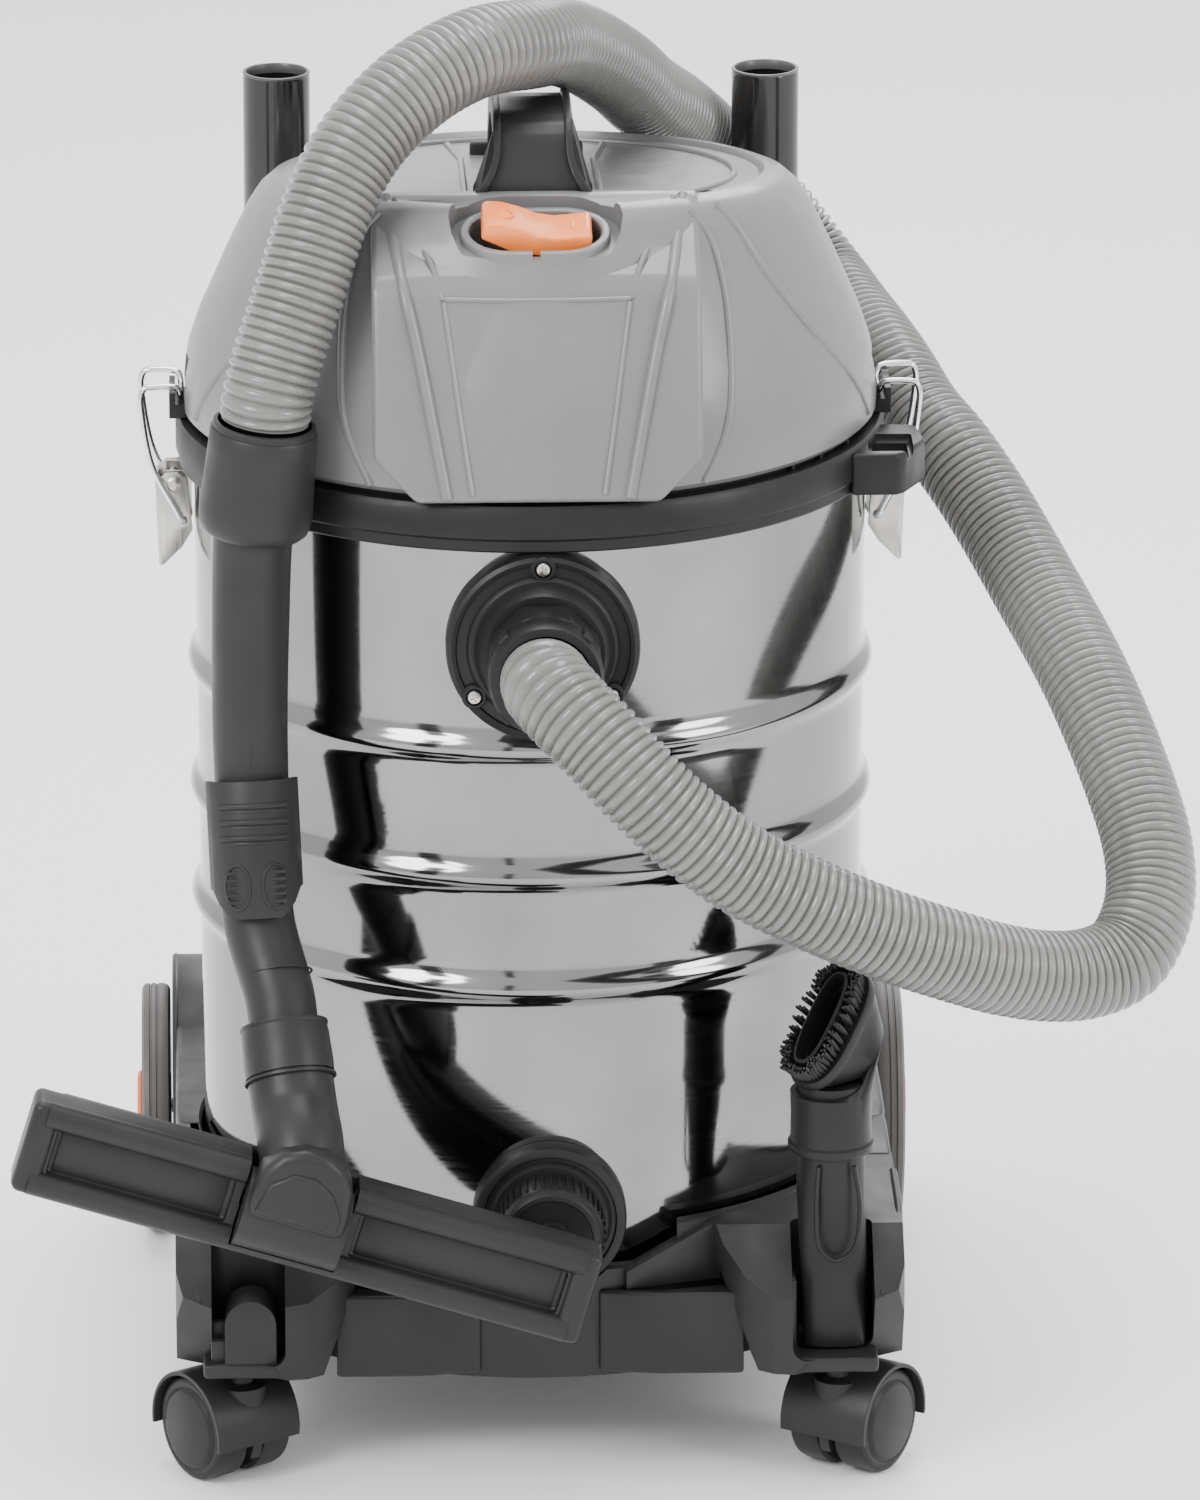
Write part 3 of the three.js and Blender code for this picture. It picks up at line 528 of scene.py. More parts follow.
def skin_over(rings):
    """A closed mesh over rings of points, each end capped."""
    sides = len(rings[0])
    faces = []
    for r in range(len(rings) - 1):
        for i in range(sides):
            j = (i + 1) % sides
            faces.append((r * sides + i, r * sides + j, (r + 1) * sides + j, (r + 1) * sides + i))
    faces.append(tuple(reversed(range(sides))))
    faces.append(tuple(range((len(rings) - 1) * sides, len(rings) * sides)))
    mesh = bpy.data.meshes.new("skin")
    mesh.from_pydata([p for ring in rings for p in ring], [], faces)
    piece = bpy.data.objects.new("skin", mesh)
    bpy.context.scene.collection.objects.link(piece)
    edit(piece)
    return close(0.0001)


def frames_along(route, first_side):
    """A direction across the route at each point, turned as little as possible from one to the next."""
    across = []
    side = Vector(first_side)
    for i, point in enumerate(route):
        ahead = route[min(i + 1, len(route) - 1)] - route[max(i - 1, 0)]
        ahead.normalize()
        side = (side - ahead * side.dot(ahead)).normalized()
        across.append((side.copy(), ahead.cross(side)))
    return across


def corrugated_hose():
    """The hose: round ridges a pitch apart, with narrow grooves between them."""
    shape = (0.0, 0.55, 0.93, 1.0, 0.93, 0.55)
    depth = 2.5
    route = evenly(smooth_route(HOSE_ROUTE, 1.5), RIDGE_PITCH / len(shape))
    rings = []
    for i, (point, (side, top)) in enumerate(zip(route, frames_along(route, (1, 0, 0)))):
        radius = HOSE_RADIUS - depth * (1 - shape[i % len(shape)])
        ring = []
        for k in range(36):
            a = math.tau * k / 36
            ring.append(point + (side * math.cos(a) + top * math.sin(a)) * radius)
        rings.append(ring)
    hose = settle(
        skin_over(rings), "suction_hose", hose_plastic, "machine", "hose_grey", "hose", angle=60
    )


corrugated_hose()


# ---- drum, rim band and inlet ----

BEADS = (258, 317.5, 385)
DRUM_FLOOR = 96
DRUM_RIM = 506


def drum_radius(z):
    """The wall's radius at a height, with its three rolled beads."""
    radius = 169.5 + 2.5 * (z - DRUM_FLOOR) / (DRUM_RIM - DRUM_FLOOR)
    for bead in BEADS:
        away = abs(z - bead) / 10
        if away < 1:
            radius += 2.25 * (1 + math.cos(math.pi * away))
    return radius


def steel_drum():
    outside = [(drum_radius(DRUM_FLOOR) - 4, DRUM_FLOOR), (drum_radius(DRUM_FLOOR), DRUM_FLOOR + 4)]
    heights = [150, 200]
    for bead in BEADS:
        heights += [bead + step for step in (-14, -10, -7.5, -5, -2.5, 0, 2.5, 5, 7.5, 10, 14)]
    heights += [287, 350, 420, 460, DRUM_RIM]
    outside += [(drum_radius(z), z) for z in sorted(heights)]
    inside = [(169.8, DRUM_RIM), (167.4, DRUM_FLOOR + 4), (0, DRUM_FLOOR + 2)]
    drum = turned([(0, DRUM_FLOOR), *outside, *inside], 160)
    cut(drum, rod(27, (2, -120, 441), (2, -220, 441)), rod(20, (5, -120, 138), (5, -220, 138)))
    settle(drum, "steel_drum", mirror_steel, "machine", "polished_steel", "drum", angle=50)


def rim_band_and_lug():
    ring = turned(
        [
            (173, 490), (178.5, 490), (179.6, 491), (179.6, 496), (181, 497.5), (181, 511), (179, 514),
            (173, 514)
        ],
        160,
    )
    lug = stand(
        slab(
            [
                (160, -84), (184, -84), (188, -80), (199, -57), (199, -52), (196, -30), (193, -28),
                (166, -26)
            ],
            22
        ),
        Matrix.Translation((0, 0, 490)),
    )
    lug = cut(eased(lug, 2.2), rod(173.2, (0, 0, 470), (0, 0, 530), 160))
    hole = eased(block((172, -75.5, 470), (190, -49.5, 530)), 2)
    lip = block((169.5, -78, 507.5), (192.5, -47, 530))
    lug = cut(lug, hole, eased(lip, 2))
    settle(joined(ring, lug), "rim_band_with_lug", soft_black, "machine", "black_plastic", "rim_band")


def suction_inlet():
    flange = point_along(
        turned(
            [
                (23.2, 3), (48.6, 3), (48.6, 14), (47.8, 17), (45.8, 18.4), (43.8, 18), (43.2, 16.6),
                (38.4, 16.6),
                (37.6, 18.4), (36, 19.6), (34.6, 19.6), (33.8, 21.5), (32.6, 24.5), (30.6, 27.6),
                (23.2, 27.9),
            ],
            128,
        ),
        (2, -165, 441),
        FRONT,
    )
    flange = cut(flange, rod(drum_radius(441) + 0.6, (0, 0, 380), (0, 0, 489), 160))
    seats = []
    for degrees in (90, 215, 325):
        a = math.radians(degrees)
        x, z = 2 + 42 * math.cos(a), 441 + 42 * math.sin(a)
        boss = point_along(
            turned([(0, 0), (6.4, 0), (6.4, 2.4), (5.6, 3.4), (4.4, 3.4), (4.2, 0.8), (0, 0.8)], 32),
            (x, -181, z), FRONT
        )
        seats.append(boss)
    settle(
        joined(flange, *seats), "inlet_flange_rings", soft_black, "machine", "black_plastic",
        "inlet_flange"
    )
    for i, degrees in enumerate((90, 215, 325)):
        a = math.radians(degrees)
        x, z = 2 + 42 * math.cos(a), 441 + 42 * math.sin(a)
        head = turned([(0, 0), (3.7, 0), (3.7, 0.8), (3.1, 1.7), (1.8, 2.2), (0, 2.3)], 24)
        for turn in (0, math.pi / 2):
            slot = block((-2.2, -0.45, 0.9), (2.2, 0.45, 4))
            head = cut(head, stand(slot, Matrix.Rotation(turn + 0.4, 4, "Z")))
        head = point_along(head, (x, -183.2, z), FRONT)
        settle(
            head, f"inlet_screw_head_{i + 1}", satin_steel, "machine", "satin_steel",
            f"inlet_screw_{i + 1}"
        )
    neck = point_along(turned([(22.6, 0), (25.6, 0), (25.6, 20), (22.6, 20)], 64), (2, -150, 441), FRONT)
    settle(neck, "inlet_neck", soft_black, "machine", "black_plastic")

    across = 27.6 / math.cos(math.pi / 8)
    eight = [
        (across * math.cos(a), across * math.sin(a))
        for a in (math.tau * (i + 0.5) / 8 for i in range(8))
    ]
    body = eased(slab(eight, 27), 3.2, 3)
    body = cut(body, rod(23.4, (0, 0, -5), (0, 0, 40), 96))
    mouth = turned([(23.3, 24), (27.4, 24), (28.8, 26.5), (28.8, 38), (27.2, 40.8), (23.3, 41.2)], 96)
    ribs = []
    for i in range(4):
        a = math.tau * (i + 0.5) / 4
        rib = eased(block((27.2, -3, 25), (30.4, 3, 38)), 0.8)
        ribs.append(stand(rib, Matrix.Rotation(a, 4, "Z")))
    collar = point_along(joined(body, mouth, *ribs), (2, -195.2, 441), FRONT)
    settle(collar, "bayonet_collar", soft_black, "hose_collar", "black_plastic", "hose_collar")


def drain():
    flange = point_along(
        turned(
            [
                (17, 1), (39, 1), (39, 12), (38.2, 14.6), (36.2, 15.6), (34, 15.6), (33.2, 14),
                (31.4, 14), (30.6, 15.6),
                (29.4, 17.6), (24, 17.8), (22, 18.4), (21.8, 26.8), (17, 26.8),
            ],
            96,
        ),
        (5, -166, 138),
        FRONT,
    )
    flange = cut(flange, rod(drum_radius(138) + 0.6, (0, 0, 97), (0, 0, 190), 160))
    settle(flange, "drain_flange_rings", soft_black, "machine", "black_plastic", "drain_flange")
    cap = turned(
        [
            (0, 10.6), (22.8, 10.6), (22.8, 0.4), (26.8, 0.4), (26.8, 20.5), (25.8, 23.4), (23.6, 25.4),
            (21.4, 25.6),
            (20.6, 24.2), (9, 23.6), (8.4, 24.6), (0, 24.8),
        ],
        96,
    )
    ribs = []
    for i in range(40):
        rib = block((26.2, -0.8, 2.5), (27.9, 0.8, 19.5))
        ribs.append(stand(rib, Matrix.Rotation(math.tau * i / 40, 4, "Z")))
    cap = point_along(joined(cap, *ribs), (5, -185, 138), FRONT)
    settle(cap, "ribbed_drain_cap", soft_black, "drain_cap", "black_plastic", "drain_cap")


# ---- motor head ----

HEAD_LOW = 516.5
HEAD_TOP = 641
ROOF_SLOPE = 0.1
DOME_SIDE = [
    (177, 519), (177.4, 528), (176.6, 538), (173.6, 552), (168.5, 567), (162, 582), (155, 598),
    (148.4, 612), (143, 623), (137, 632.2), (130.5, 638), (124, 640.6), (119.5, 641),
]


def leaned(point):
    """The roof falls towards the rear, more the higher it is."""
    share = (point.z - HEAD_LOW) / (HEAD_TOP - HEAD_LOW)
    return Vector((point.x, point.y, point.z - ROOF_SLOPE * point.y * share))


def on_dome(degrees, z, proud=0.0):
    """A point on the dome's side: the angle is counted from the front towards +X."""
    for (r0, z0), (r1, z1) in zip(DOME_SIDE, DOME_SIDE[1:]):
        if z <= z1:
            break
    radius = r0 + (r1 - r0) * min(1, max(0, (z - z0) / (z1 - z0))) + proud
    a = math.radians(degrees)
    return leaned(Vector((radius * math.sin(a), -radius * math.cos(a), z)))


def pod_matrix():
    return Matrix.Translation((0, -122, 639.5)) @ Matrix.Rotation(math.radians(14), 4, "X")


def in_pod(piece):
    return stand(piece, pod_matrix())


def front_wedge():
    """The flat front of the head: two faces that meet in a fold, flaring towards the top."""
    wedge = slab_side(
        [
            (-60, HEAD_LOW), (-60, 645), (-90, 652.5), (-96, 651.5), (-146, 622.5), (-150.5, 617),
            (-181.5, 521), (-182, HEAD_LOW)
        ],
        -82,
        82,
    )
    for side in (-1, 1):
        wedge = bisected(wedge, (side * 44, 0, 500), (side * 160, 0, -31))
    return eased(wedge, 3.2, 4, 20)


def head_shell():
    body = turned(
        [(0, HEAD_LOW), (174.5, HEAD_LOW), *DOME_SIDE, (117.8, 639.6), (116.6, 638.2), (0, 638.2)], 144
    )
    body = moved_by(body, leaned)
    shell = fused(body, front_wedge())
    shell = cut(shell, in_pod(stand(slab(oval_points(15, 28.5), 60), Matrix.Translation((0, 0, -2.4)))))
    well = slab(oval_points(13, 20), 60)
    shell = cut(shell, in_pod(stand(well, Matrix.Translation((0, 0, -38)))))
    for side in (-1, 1):
        shell = cut(shell, block((side * 186.4 - 15, -20, 500), (side * 186.4 + 15, 20, 547)))
        dimple = point_along(slab(oval_points(4, 3.4, 6), 12), (side * 84, -62, 636), UP)
        shell = cut(shell, dimple)
    shell = cut(shell, block((-50, 120, 533), (50, 210, 569)), rod(9, (88, 100, 536), (88, 220, 536)))
    return shell


def pod_collar():
    """The raised oval round the switch, split at the front by a slot."""
    outer = slab(oval_points(13.5, 24.2, 14), 20)
    inner = slab(oval_points(13, 20, 14), 60)
    collar = cut(
        stand(outer, Matrix.Translation((0, 0, -18.5))), stand(inner, Matrix.Translation((0, 0, -30)))
    )
    collar = cut(eased(collar, 1.1, 3), block((-2, -60, -60), (2, -8, 40)))
    return in_pod(collar)


def ribs_on_head():
    """Raised rails that frame the front, sweep down the sides and ring the roof."""
    rails = []
    for side in (-1, 1):
        edge = smooth_route(
            [
                (side * 45.5, -181.5, 519), (side * 52, -171.5, 552), (side * 60, -159, 592),
                (side * 66, -149.5, 617), (side * 71, -118, 637), (side * 74.5, -93, 650.5),
            ],
            4,
        )
        rails.append(bar(edge, 3.1, 4))
        inner = smooth_route(
            [
                (side * 33, -181.6, 521), (side * 38, -171, 553), (side * 43, -159.5, 588),
                (side * 46.5, -151.8, 612)
            ],
            4
        )
        rails.append(bar(inner, 1.5, 3))
        upper = smooth_route(
            [
                (side * 46.5, -151.6, 613), (side * 52, -139, 627.4), (side * 64, -112, 643),
                (side * 70, -98, 651)
            ],
            4
        )
        rails.append(bar(upper, 1.6, 3))
        sweep = [
            on_dome(side * a, z, -0.6) for a,
            z in ((28, 519), (33, 545), (36, 575), (38, 603), (38, 625), (36, 636))
        ]
        rails.append(bar(smooth_route(sweep, 4), 2.4, 4))
        shoulder = [
            on_dome(side * a, z, -0.8) for a,
            z in ((74, 524), (68, 545), (58, 575), (50, 605), (46, 628), (44, 637))
        ]
        rails.append(bar(smooth_route(shoulder, 4), 2.6, 4))
    sill = smooth_route(
        [(-46.5, -151.4, 613.5), (-20, -151.9, 613), (20, -151.9, 613), (46.5, -151.4, 613.5)], 5
    )
    rails.append(bar(sill, 1.3, 3))
    ring = [
        leaned(Vector((104 * math.sin(a), -104 * math.cos(a), 638.4)))
        for a in (math.radians(d) for d in range(44, 317, 6))
    ]
    rails.append(bar(ring, 1.8, 3))
    for side in (-1, 1):
        rails.append(
            bar(
                [
                    leaned(Vector((side * x, y, 638.4))) for x,
                    y in ((34, -92), (34, -40), (34, 40), (40, 88))
                ],
                1.8, 3
            )
        )
    return rails


def motor_head():
    shell = joined(head_shell(), pod_collar(), *ribs_on_head())
    settle(shell, "head_shell", grey_shell, "machine", "grey_plastic", "head_cover", angle=32)

    slats = [block((-49.6, 156, 533.4), (49.6, 160, 568.6))]
    for i in range(9):
        x = -43.5 + i * 10.875
        slats.append(eased(block((x - 2.6, 150, 533.4), (x + 2.6, 168.5, 568.6)), 0.8))
    settle(joined(*slats), "exhaust_slats", soft_black, "machine", "black_plastic", "exhaust_grille")
    gland = point_along(
        turned(
            [
                (0, 0), (8.2, 0), (8.2, 20), (7.6, 21), (6.6, 21), (6.6, 23), (7.4, 23), (7.2, 26),
                (6.2, 26), (6.2, 28), (6.9, 28), (6.6, 34), (4.6, 34), (4.6, 22), (0, 22)
            ],
            40
        ),
        (88, 146, 536),
        (0, 1, 0),
    )
    settle(gland, "lead_gland", seal_black, "machine", "black_plastic", "cord_gland")


def head_base_ring():
    ring = turned(
        [
            (58, 508), (160, 508), (160, 496), (165, 496), (165, 508), (171, 508), (171.6, 509),
            (171.6, 515.6), (70, 515.6), (70, 513), (58, 513)
        ],
        128,
    )
    ears = []
    for side in (-1, 1):
        arm = block((side * 172 - 12, -17, 514.7), (side * 172 + 12, 17, 523.7))
        ear = block((side * 178 - 6, -17, 515), (side * 178 + 6, 17, 528))
        ear = eased(fused(arm, ear), 1.2)
        ears.append(cut(ear, block((side * 177.25 - 3.75, -30, 522), (side * 177.25 + 3.75, 30, 545))))
    for degrees in (48, 56, 66, -50, -58):
        a = math.radians(degrees)
        fin = eased(block((-1.2, -174.5, 512), (1.2, -165, 517)), 0.4)
        ears.append(stand(fin, Matrix.Rotation(a, 4, "Z")))
    settle(joined(ring, *ears), "head_seat_ring", soft_black, "machine", "black_plastic", "head_base")


def carry_handle():
    """An arch whose front leg is a channel between two raised sides and spreads into its foot."""
    outside = [
        (-91, 640), (-91, 655), (-88.5, 661), (-76, 679.5), (-71, 684), (-63, 686.5), (-25, 686.5),
        (20, 677), (48, 662)
    ]
    under = [
        (72, 632), (72, 620), (56, 620), (50, 640), (38, 652), (18, 665), (-20, 674.5), (-54, 674.5),
        (-62, 670), (-71, 653), (-72, 640)
    ]
    sunk = [
        (-86, 640), (-86, 655.5), (-72, 676.5), (-66, 681.5), (-58, 684.5), (-25, 684.5), (20, 675),
        (48, 660)
    ]

    def foot_flare(point):
        low = max(0.0, min(1.0, (674 - point.z) / 22)) if point.y < -55 else 0.0
        return Vector((point.x * (1 + 0.5 * low * low), point.y, point.z))

    pieces = [slab_side([*sunk, *under], -17, 17)]
    for low in (-20, 16):
        pieces.append(eased(slab_side([*outside, *under], low, low + 4), 1.1, 3))
    pieces.append(eased(slab_side([(56, 620), (56, 640), (66, 638), (73, 630), (73, 616)], -29, 29), 2))
    handle = joined(*pieces)
    edit(handle)
    bpy.ops.mesh.subdivide(number_cuts=3)
    bpy.ops.object.mode_set(mode="OBJECT")
    handle = moved_by(handle, foot_flare)
    settle(handle, "channel_handle", charcoal, "machine", "charcoal_plastic", "carry_handle")


def rocker():
    """The switch's paddle: a high left lobe that dips to the middle and rises to the right."""
    top = [
        (-27.5, 7.2), (-25.5, 9), (-18, 9.4), (-9, 7.8), (0, 5), (9, 4.6), (19, 6.8), (25.5, 8.6),
        (27.5, 7)
    ]
    paddle = slab([*top, (27.5, 0), (10, -6.4), (-10, -6.4), (-27.5, 0)], 25)
    paddle = stand(paddle, Matrix.Translation((0, 12.5, 0)) @ Matrix.Rotation(math.pi / 2, 4, "X"))
    paddle = eased(paddle, 2.4, 4, 20)
    ring = turned([(4.0, 0), (5.2, 0), (5.2, 0.9), (4.0, 0.9)], 32)
    marks = [stand(ring, Matrix.Translation((-17, 0, 8.7)))]
    mark = eased(block((17.2, -3.6, 5.6), (18.6, 3.6, 7.2)), 0.3)
    marks.append(mark)
    paddle = joined(paddle, *marks)
    in_pod(stand(paddle, Matrix.Rotation(math.radians(7), 4, "Y")))
    settle(paddle, "rocker_paddle", orange_switch, "switch", "orange_plastic", "switch_rocker")


steel_drum()
rim_band_and_lug()
suction_inlet()
drain()
motor_head()
head_base_ring()
carry_handle()
rocker()


# ---- latches ----

LEVER_PIVOT = (182, 479)
WIRE_PIVOT = (177, 460)
HOOK = (178, 525)


def latch():
    """The right-hand latch: lever with two cheeks and the heads of its pin, and the wire bail."""
    po, pz = LEVER_PIVOT
    wo, wz = WIRE_PIVOT
    cheek = [
        (po - 7, pz - 1), (po - 6, pz + 4), (po - 2, pz + 6.4), (po + 4, pz + 6), (po + 9.6, pz + 1.5),
        (po + 8.6, 455), (po + 8, 437), (po + 5.6, 436.4), (po - 4, 446), (po - 9.4, 455), (po - 8, 468),
    ]
    plates = []
    for back, front in ((14.8, 13.4), (-13.4, -14.8)):
        plate = eased(slab_front(cheek, back, front), 0.35, 2)
        plate = cut(plate, rod(2.2, (wo, -20, wz), (wo, 20, wz), 24))
        plates.append(plate)
    spine = slab_front([(po + 8.2, pz + 1), (po + 9.6, pz + 1), (po + 8, 437), (po + 6.6, 437)], 14, -14)
    tip = rod(1.3, (po + 6.8, -14.6, 437.2), (po + 6.8, 14.6, 437.2), 16)
    heads = []
    for side in (-1, 1):
        head = turned([(0, 0), (4.3, 0), (4.3, 0.7), (3.4, 1.6), (1.6, 2), (0, 2)], 32)
        head = cut(head, block((-0.45, -3, 1.1), (0.45, 3, 4)), block((-3, -0.45, 1.1), (3, 0.45, 4)))
        heads.append(point_along(head, (po, side * 14.7, pz), (0, side, 0)))
    lever = joined(*plates, spine, tip, *heads)

    half = [
        (wo, 12.2, wz), (wo, 15.4, wz), (wo + 1.5, 16.9, wz + 1.5), (wo + 5, 17.3, wz + 8),
        (wo + 16, 17.4, wz + 30),
        (wo + 21.2, 17.4, wz + 60), (wo + 21.4, 17.3, wz + 66), (wo + 19.6, 17, wz + 70.4),
        (wo + 14, 16.5, wz + 71.4),
        (HOOK[0] + 4, 15.8, wz + 71), (HOOK[0] + 1.2, 15, HOOK[1] + 5),
        (HOOK[0] + 0.2, 13.6, HOOK[1] + 1.6),
        (HOOK[0], 11, HOOK[1]), (HOOK[0], 4, HOOK[1]),
    ]
    route = half + [(x, -y, z) for x, y, z in reversed(half)]
    bail = bar(smooth_route(route, 0.9), 1.55, 4)
    return lever, bail


def latches():
    lever, bail = latch()
    other_lever, other_bail = mirrored(lever), mirrored(bail)
    for word, swing, wire in (("right", lever, bail), ("left", other_lever, other_bail)):
        settle(
            swing, f"latch_cheeks_{word}", satin_steel, f"latch_lever_{word}", "satin_steel",
            f"latch_lever_{word}"
        )
        settle(
            wire, f"latch_wire_{word}", wire_steel, f"latch_bail_{word}", "polished_steel",
            f"latch_bail_{word}"
        )
    for word in ("left", "right"):
        for node in (f"latch_bracket_{word}", f"latch_pin_{word}"):
            dress_node(node, satin_steel)


def dress_node(node, material):
    """Gives a carried-over node its finish."""
    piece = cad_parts[node]
    piece.data.materials.clear()
    piece.data.materials.append(material)


# ---- hand set ----

CUFF_FOOT = Vector((-141.5, -155.5, 497))
CUFF_AXIS = Vector((6, -3.5, 57)).normalized()
SOCKET_RIM = Vector((-129, -204, 252))
SOCKET_AXIS = Vector((5, -22, -36)).normalized()
SLIDER_TOP = Vector((-143.8, -158.3, 366))
SLIDER_AXIS = Vector((3, -16.3, -68)).normalized()


def hose_cuff():
    cuff = point_along(
        turned(
            [
                (20.6, 5), (21.4, 1.2), (24.4, -1), (27, 1.5), (28.3, 6), (28.6, 12), (27.8, 26),
                (27.1, 44), (26.9, 52.4),
                (26.3, 53.4), (25.9, 53.4), (25.6, 56.2), (24.2, 57), (23.6, 57), (23.6, 40), (20.6, 30),
            ],
            96,
        ),
        CUFF_FOOT,
        CUFF_AXIS,
    )
    settle(cuff, "swivel_cuff", grip_black, "hose_cuff", "charcoal_plastic", "hose_cuff")


def hand_tube():
    route = smooth_route(
        [
            CUFF_FOOT + CUFF_AXIS * 20, CUFF_FOOT - CUFF_AXIS * 6, (-143.5, -154.5, 450),
            (-144.3, -155, 406),
            (-144.2, -155.8, 384), SLIDER_TOP, (-142.3, -166.4, 332), (-140.8, -174.6, 298),
            SOCKET_RIM - SOCKET_AXIS * 14, SOCKET_RIM, SOCKET_RIM + SOCKET_AXIS * 22,
        ],
        4,
    )
    tops = [(p.z - 220) / 290 for p in (Vector(q) for q in route)]
    taper = [0.86 + 0.14 * max(0.0, min(1.0, t)) for t in tops]
    tube = bar(route, 20, 10, taper)
    seam = [Vector(p) + Vector((0, -1, 0.2)).normalized() * (20 * s - 0.2) for p, s in zip(route, taper)]
    seam = bar(seam[4:38], 0.55, 2)
    ring = point_along(
        turned([(16.9, 0), (18.2, 0), (18.2, 0.5), (16.9, 0.5)], 64), SOCKET_RIM - SOCKET_AXIS * 26,
        -SOCKET_AXIS
    )
    settle(
        joined(tube, seam, ring), "curved_hand_tube", grip_black, "machine", "black_plastic", "hand_tube"
    )


def air_slider():
    """A C-shaped plate that hugs the tube's front, with three grip ribs and two slatted vents."""
    plate = turned([(21.3, 0), (24, 0), (24, 69), (21.3, 69)], 96)
    plate = cut(plate, block((-40, -40, -10), (6, 40, 90)))
    corners = []
    for side in (-1, 1):
        corner = slab(
            [
                (side * 11, -1), (side * 15, 2), (side * 19, 7), (side * 22, 14), (side * 30, 20),
                (side * 30, -1)
            ],
            60
        )
        turn = Matrix(((0, 0, 1, 0), (1, 0, 0, 0), (0, 1, 0, 0), (0, 0, 0, 1)))
        corners.append(stand(corner, turn))
    for corner in corners:
        stand(corner, Matrix.Translation((0, 0, 69)) @ Matrix.Diagonal((1, 1, -1, 1)))
        edit(corner)
        bpy.ops.mesh.normals_make_consistent(inside=False)
        bpy.ops.object.mode_set(mode="OBJECT")
    plate = cut(plate, *corners)
    vents = []
    for side in (-1, 1):
        hole = slab(oval_points(5.5, 5, 10), 60)
        turn = Matrix(((0, 0, 1, 0), (0, 1, 0, side * 9.2), (1, 0, 0, 53), (0, 0, 0, 1)))
        plate = cut(plate, stand(hole, turn))
        for i in range(5):
            slat = block((21, side * 9.2 - 5.6, 0), (22.6, side * 9.2 + 5.6, 1.5))
            vents.append(stand(slat, Matrix.Translation((0, 0, 45 + i * 3.7))))
    plate = eased(plate, 0.7, 2, 40)
    grips = []
    for side in (-1, 1):
        edge = []
        for i in range(25):
            a = math.tau * i / 24
            y = side * 9.2 + 6 * math.cos(a)
            z = 53 + 11.2 * math.sin(a)
            edge.append(Vector((math.sqrt(23.7 ** 2 - y * y), y, z)))
        grips.append(bar(edge, 1, 3))
    for i in range(3):
        z = 12.5 + i * 8
        arch = [
            Vector((23.4 * math.cos(a), 23.4 * math.sin(a), z))
            for a in (math.radians(d) for d in range(-44, 45, 4))
        ]
        grips.append(bar(arch, 1.7, 4))
        low_rib = [
            Vector((23.5 * math.cos(a), 23.5 * math.sin(a), z + 2.6))
            for a in (math.radians(d) for d in range(-44, 45, 4))
        ]
        grips.append(bar(low_rib, 0.9, 3))
    slider = joined(plate, *vents, *grips)
    # The plate was made opening towards -X with its top at zero: face it to the front and hang it downwards.
    across = SLIDER_AXIS.cross(FRONT).normalized()
    front = across.cross(SLIDER_AXIS).normalized()
    turn = Matrix((front, across, SLIDER_AXIS)).transposed()
    slider = stand(slider, Matrix.Translation(SLIDER_TOP - SLIDER_AXIS * 1.5) @ turn.to_4x4())
    settle(slider, "air_slider_plate", grip_black, "air_slider", "charcoal_plastic", "air_slider")


NOZZLE_CENTRE = Vector((-118, -245, 165))
NOZZLE_TILT = math.radians(17)
BARREL_Y = -9


def in_nozzle(piece):
    return stand(piece, Matrix.Translation(NOZZLE_CENTRE) @ Matrix.Rotation(NOZZLE_TILT, 4, "Y"))


def nozzle_head():
    """The floor head: a long body with a rounded rail along each edge and two sunk panels between them."""
    half, w = 148, 24.5
    body = eased(block((-half, -10, -w), (half, 14, w)), 4, 4)
    ends = [
        eased(block((s * half - 14 * (s > 0), -13, -w), (s * half + 14 * (s < 0), 12, w)), 4.5, 4)
        for s in (-1, 1)
    ]
    rails = []
    for z in (-w + 6.5, w - 6.5):
        rail = rod(6.8, (-half + 8, -8.2, z), (half - 8, -8.2, z), 40)
        rails.append(rail)
    body = fused(body, *ends, *rails)
    for low, high in ((-half + 15, -40), (24, half - 15)):
        sunk = eased(block((low, -30, -w + 12.6), (high, -4.5, w - 12.6)), 2.2, 3)
        body = cut(body, sunk)
    slot = block((-36, -40, 0), (20, 40, 40))
    bar_room = rod(20.8, (-35.5, BARREL_Y, 0), (19.5, BARREL_Y, 0), 48)
    body = cut(body, slot, bar_room)
    lip = [
        eased(block((low, -5.3, -w + 13.5), (high, -4.2, w - 13.5)), 0.5, 2)
        for low, high in ((-half + 18, -43), (27, half - 18))
    ]
    skids = [
        eased(block((-half + 14, 12, z - 3.5), (half - 14, 16.5, z + 3.5)), 1.5)
        for z in (-w + 4.5, w - 4.5)
    ]
    lower = in_nozzle(joined(body, *lip, *skids))
    settle(lower, "floor_head", charcoal, "nozzle", "charcoal_plastic", "nozzle_head")
    for z, word in ((14, "upper"), (-14, "lower")):
        tufts = [block((-130, 13.8, z - 2.2), (130, 17, z + 2.2))]
        tuft = block((-1.2, 16, z - 1.9), (1.2, 21.9, z + 1.9))
        for i in range(62):
            tufts.append(
                stand(copy_of(tuft), Matrix.Translation((-127 + i * 4.16, 0.25 * math.sin(i * 2.3), 0)))
            )
        bpy.data.objects.remove(tuft)
        settle(
            in_nozzle(joined(*tufts)), f"sole_bristles_{word}", bristle_black, "nozzle", "bristle",
            f"nozzle_bristles_{word}"
        )


